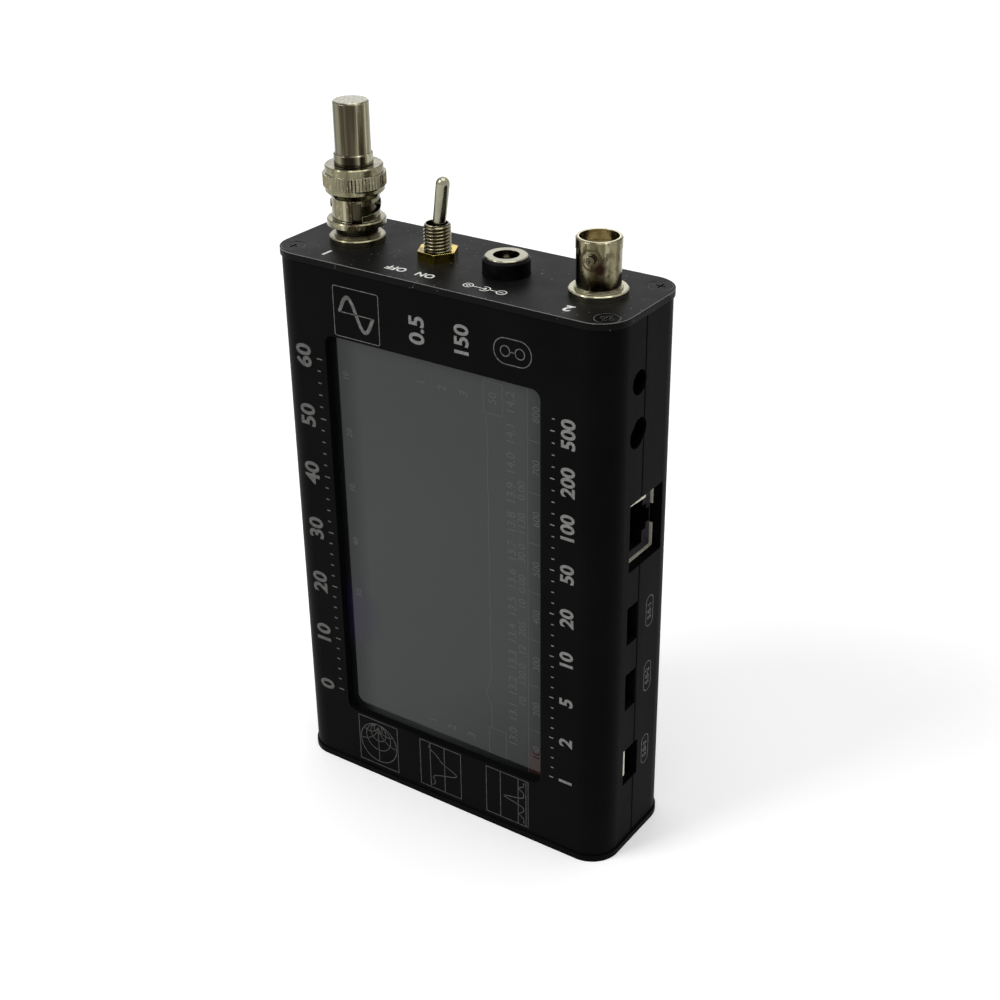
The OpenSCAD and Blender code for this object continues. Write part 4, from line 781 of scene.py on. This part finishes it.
def draw_lower_row():
    boxes = [(-26.2, -14.4), (-7.5, 4.5), (11.9, 23.7)]
    z0, z1 = 2.9, 16.0
    line, thin, curve = 0.18, 0.16, 0.2
    p = Print(front)

    def upright(x):
        p.stroke([(x, z0), (x, z1)], line)

    for x0, x1 in boxes:
        p.stroke([(x0, z0), (x1, z0), (x1, z1), (x0, z1)], line, True)
    # An impedance chart
    x0, x1 = boxes[0]
    cx, cy, r = (x0 + x1) / 2, (z0 + z1) / 2, 5.5
    p.stroke(circle(cx, cy, r, 48), curve, True)
    p.stroke([(cx, cy - r), (cx, cy + r)], thin)
    for k in (0.7, 0.45, 0.25):
        p.stroke(circle(cx, cy + r * (1 - k), r * k - 0.12, 32), line, True)
    for k, bend in ((1.0, 90), (0.5, math.degrees(2 * math.atan(2)))):
        for s, start in ((1, 180), (-1, 0)):
            p.stroke(arc(cx + s * r * k, cy + r, r * k, start, start + s * bend, 20), thin)
    # A dip beside its axis
    x0, x1 = boxes[1]
    upright(x0 + 3.0)
    upright(x0 + 7.2)
    dip = []
    for t in steps(40):
        depth = bell(t, 0.5, 0.2) + 0.12 * math.sin(t * 18)
        dip.append((x0 + 3.4 + 6.8 * depth, z0 + 0.8 + (z1 - z0 - 1.6) * t))
    p.stroke(dip, curve)
    # Peaks over a base line
    x0, x1 = boxes[2]
    for x in (x0 + 4.0, x1 - 2.8, x1 - 0.6):
        upright(x)
    peaks = []
    for t in steps(60):
        peak = 5.6 * bell(t, 0.5, 0.07) + 1.6 * bell(t, 0.82, 0.05) + 1.3 * bell(t, 0.2, 0.06)
        peaks.append((x1 - 1.2 - peak, z0 + 0.6 + (z1 - z0 - 1.2) * t))
    p.stroke(peaks, curve)
    p.build("marks_lower", dim_ink)


def draw_side():
    """Numbered pills beside the data sockets."""
    y, half_y, half_z = 4.1, 1.5, 3.85
    p = Print(side)
    for z, word in ((59.8, "5.0-1"), (42.5, "5.0-2"), (22.3, "5.0-3")):
        p.stroke(rounded(y - half_y, z - half_z, y + half_y, z + half_z, 1.45), 0.2, True)
        p.text(word, 2.1, (y, z), bold=0.02)
    p.build("marks_side", fine_ink)


def draw_top():
    row, line = 10.3, 0.25
    p = Print(top)
    p.text("1", 4.0, (30.6, row), 0, 0.03)
    p.text("2", 4.0, (-30.9, row), 0, 0.03)
    p.text("OFF", 2.9, (11.8, row), 0, 0.025)
    p.text("ON", 2.9, (4.2, row), 0, 0.025)
    # The polarity of the charging plug: a dot in a cup, between minus and plus
    cx, cup, lead, far, sign = -10.8, 1.15, 3.0, 4.1, 0.6
    p.stroke(arc(cx, row, cup, 55, 305, 20), line)
    p.stroke(circle(cx, row, 0.3, 10), 0.3, True)
    p.stroke([(cx, row), (cx + lead, row)], line)
    p.stroke([(cx - cup, row), (cx - lead, row)], line)
    for x in (cx - far, cx + far):
        p.stroke(circle(x, row, 1.05), line, True)
        p.stroke([(x - sign, row), (x + sign, row)], line)
    p.stroke([(cx + far, row - sign), (cx + far, row + sign)], line)
    p.build("marks_top", top_ink)


def draw_display():
    """The faint picture that an unlit display still shows: boxes, numbers and a trace."""
    line = 0.14
    p = Print(panel)
    # A column of keys along the right edge
    low, high, x0, x1, keys = 17.4, 115.2, 22.6, 26.9, 8
    p.stroke([(x0, low), (x0, high)], line)
    for i in range(1, keys + 1):
        z = low + (high - low) * i / keys
        if i < keys:
            p.stroke([(x0, z), (x1, z)], line)
        p.text(str(100 * i), 2.5, (24.8, z - 6.1))
    # Two rows of numbers
    p.text("  ".join("%.1f" % (13.0 + 0.1 * i) for i in range(13)), 3.1, (18.5, 68))
    p.text("10    130.0   12   205    10  0.00    30.0   1130    0.00", 2.7, (21.1, 64))
    # The trace, with a dip near its start
    trace = []
    for t in steps(120):
        wobble = 0.1 * math.sin(37 * t) + 0.08 * math.sin(101 * t)
        trace.append((12.4 + wobble - 1.2 * bell(t, 0.12, 0.03), 26 + 80 * t))
    p.stroke(trace, line)
    for z in (106.6, 18.6):
        p.stroke([(11.6, z), (16.4, z), (16.4, z + 7.2), (11.6, z + 7.2)], line, True)
    # Loose numbers
    p.text("50", 2.8, (14.0, 110.2))
    for i in range(3):
        for z in (109.5, 21.5):
            p.text(str(i + 1), 3.0, (-4.6 + 5.6 * i, z))
    for i in range(5):
        p.text(str(10 * (i + 1)), 2.2, (-25.4, 106 - 14 * i))
    p.build("display_ghost", ghost)
    # The lowest key, filled
    p = Print(panel)
    p.stroke([(24.75, 17.6), (24.75, 23.8)], 4.2)
    p.build("display_key", ghost_red)


draw_display()
draw_scales()
draw_upper_row()
draw_lower_row()
draw_side()
draw_top()


SWITCH_X = -8.5


def threaded_bushing():
    """The switch bushing with its thread cut as a real helix, in mm."""
    at = Vector((SWITCH_X, 0, 0))
    low, high = 130.9, 140.7
    # The thread, half its groove's width as a share of the pitch, and the end's chamfer
    outer, pitch, deep, half_cut = 3.0, 0.75, 0.38, 0.42
    chamfer, slope = 0.45, 0.9
    # The bore, with a groove for the lever's pivot pin
    bore, mouth, seat = 2.0, 2.4, 0.975
    pivot, groove, half = 136.6, 2.45, 0.6
    # Faces cut deeper than this share of the groove get painted shade
    shaded_share = 0.45
    sides, rows = 64, 8
    turns = [2 * math.pi * i / sides for i in range(sides)]
    verts, faces, cuts = [], [], []
    count = int((high - low) / pitch * rows)
    for part in steps(count):
        z = low + (high - low) * part
        for i, a in enumerate(turns):
            phase = (z / pitch - i / sides) % 1.0
            cut = deep * max(0.0, 1 - abs(phase - 0.5) / half_cut)
            r = min(outer - cut, outer - max(0.0, z - (high - chamfer)) * slope)
            verts.append(at + Vector((r * math.cos(a), r * math.sin(a), z)))
            cuts.append(cut)
    inner = [
        (mouth, high), (bore, pivot + seat), (bore, pivot + half), (groove, pivot + half),
        (groove, pivot - half), (bore, pivot - half), (bore, low),
    ]
    for r, z in inner:
        verts += [at + Vector((r * math.cos(a), r * math.sin(a), z)) for a in turns]
    rings = count + 1 + len(inner)
    for j in range(rings):
        p, q = j * sides, (j + 1) % rings * sides
        for i in range(sides):
            k = (i + 1) % sides
            faces.append((p + i, p + k, q + k, q + i))
    piece = new_piece("switch_thread", verts, faces, bushing_look)
    piece.data.materials.append(groove_shade_look.material)
    for face in piece.data.polygons:
        if all(i < len(cuts) and cuts[i] > deep * shaded_share for i in face.vertices):
            face.material_index = 1
    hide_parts("switch_bushing")


threaded_bushing()


def bare_edge(name, centre, r, start, stop, count=24):
    """A sliver of bare metal along part of a hole's edge, thin at both ends."""
    end_width, swell, proud = 0.02, 0.16, 0.012
    verts, faces = [], []
    for part in steps(count):
        a = math.radians(start + (stop - start) * part)
        wide = end_width + swell * math.sin(math.pi * part)
        inner, outer, back = (r - 0.05, -0.25), (r + wide, proud), (r + 0.01, -0.3)
        for k, out in (inner, outer, back):
            x = SIDE_X + out
            verts.append((x, centre[0] + k * math.cos(a), centre[1] + k * math.sin(a)))
    for i in range(count):
        p, q = 3 * i, 3 * i + 3
        for j in range(3):
            k = (j + 1) % 3
            faces.append((p + j, q + j, q + k, p + k))
    end = 3 * count
    faces += [(0, 1, 2), (end + 2, end + 1, end)]
    new_piece(name, verts, faces, bare)


# What the cutter left bare round the upper audio hole
AUDIO_UPPER = (-3.4, 117.5)
AUDIO_UPPER_R = 2.725
bare_edge("bare_edge_upper", AUDIO_UPPER, AUDIO_UPPER_R, 130, 225)

# How far a lip lies in from the side's face, and how thick it is
LIP_IN = 0.1
LIP_THICK = 0.2
# The front edge of the data sockets' holes lies a gap before the board's rear face
PORT_GAP = 0.15
PORT_FRONT = most("main_board", 1) / MM - PORT_GAP


def lip(name, outline):
    """A thin tab just inside a hole of the side, drawn in mm across and up."""
    xs = (SIDE_X - LIP_IN, SIDE_X - LIP_IN - LIP_THICK)
    verts = [(x, y, z) for x in xs for y, z in outline]
    n = len(outline)
    faces = [tuple(range(n)), tuple(range(2 * n - 1, n - 1, -1))]
    for i in range(n):
        k = (i + 1) % n
        faces.append((k, i, n + i, n + k))
    new_piece(name, verts, faces, pale_tin)


def draw_lips():
    cut, slack = 0.15, 0.02
    # The front lip of the thicker data socket's shell
    y0, y1, low, high = PORT_FRONT + slack, PORT_FRONT + 0.8, 20.4, 27.2
    lip("mini_socket_lip", [
        (y0, low), (y1 - cut, low), (y1, low + cut), (y1, high - cut), (y1 - cut, high),
        (y0, high),
    ])
    # The upper lip of the network socket's shield, wider towards the rear
    high = most("network_shield", 2) / MM + PORT_GAP - slack
    near, far = PORT_FRONT + 0.3, PORT_FRONT + 6.6
    lip("network_shield_lip", [
        (near, high - 0.3), (far - cut, high - 0.75), (far, high - 0.6), (far, high),
        (near, high),
    ])


draw_lips()

# Stage: floor, lights and world

FLOOR_HALF = 3.0
# What the floor gives by itself, near the object and far off, where less light falls on it
FLOOR_LIFT = 0.28
FAR_LIFT = 0.8
NEAR = 0.3
FAR = 1.3
# The world's level where it is seen and where it only lights
WORLD_SEEN = 1.0
WORLD_LIGHT = 0.3
# Each lamp's place, target, size and watts
LAMPS = {
    "key": ((-0.5, -0.7, 0.9), (0, 0, 0.08), (0.5, 0.5), 7),
    "back_soft": ((-0.75, 0.95, 0.75), (0, 0, 0.13), (1.1, 0.7), 1.5),
    "overhead": ((0.1, 0.1, 1.2), (0, 0, 0.1), (0.9, 0.9), 6.5),
}


def background_rays(tree):
    """1 for rays that show the background: from the camera, off metal or through glass."""
    path = tree.nodes.new("ShaderNodeLightPath")
    total = path.outputs["Is Camera Ray"]
    for name in ("Is Glossy Ray", "Is Transmission Ray"):
        add = tree.nodes.new("ShaderNodeMath")
        add.operation = "MAXIMUM"
        tree.links.new(total, add.inputs[0])
        tree.links.new(path.outputs[name], add.inputs[1])
        total = add.outputs[0]
    return total


def make_floor():
    mesh = bpy.data.meshes.new("floor")
    h = FLOOR_HALF
    mesh.from_pydata([(-h, -h, 0), (h, -h, 0), (h, h, 0), (-h, h, 0)], [], [(0, 1, 2, 3)])
    floor = bpy.data.objects.new("floor", mesh)
    scene.collection.objects.link(floor)
    look = Look("floor", grey(0.9), 0.9, specular=0.1)
    look.mottle(3, grey(0.89)).put("Emission Color", (1, 1, 1, 1))
    lift = look.span(look.distance((0, 0, 0)), NEAR, FAR, FLOOR_LIFT, FAR_LIFT)
    glow = look.calc("MULTIPLY", background_rays(look.tree), lift)
    look.link(glow, look.shader.inputs["Emission Strength"])
    mesh.materials.append(look.material)


def make_lamp(name, at, target, size, watts):
    data = bpy.data.lights.new(name, "AREA")
    data.shape = "RECTANGLE"
    data.size, data.size_y = size
    data.energy = watts
    lamp = bpy.data.objects.new(name, data)
    lamp.location = at
    lamp.rotation_euler = (Vector(target) - Vector(at)).to_track_quat("-Z", "Y").to_euler()
    scene.collection.objects.link(lamp)


def make_world():
    world = bpy.data.worlds.new("studio")
    scene.world = world
    world.use_nodes = True
    tree = world.node_tree
    background = tree.nodes["Background"]
    background.inputs["Color"].default_value = (1, 1, 1, 1)
    pick = tree.nodes.new("ShaderNodeMapRange")
    pick.inputs["To Min"].default_value = WORLD_LIGHT
    pick.inputs["To Max"].default_value = WORLD_SEEN
    tree.links.new(background_rays(tree), pick.inputs["Value"])
    tree.links.new(pick.outputs["Result"], background.inputs["Strength"])


make_floor()
make_world()
for lamp_name, lamp_values in LAMPS.items():
    make_lamp(lamp_name, *lamp_values)

scene.view_settings.view_transform = "Standard"
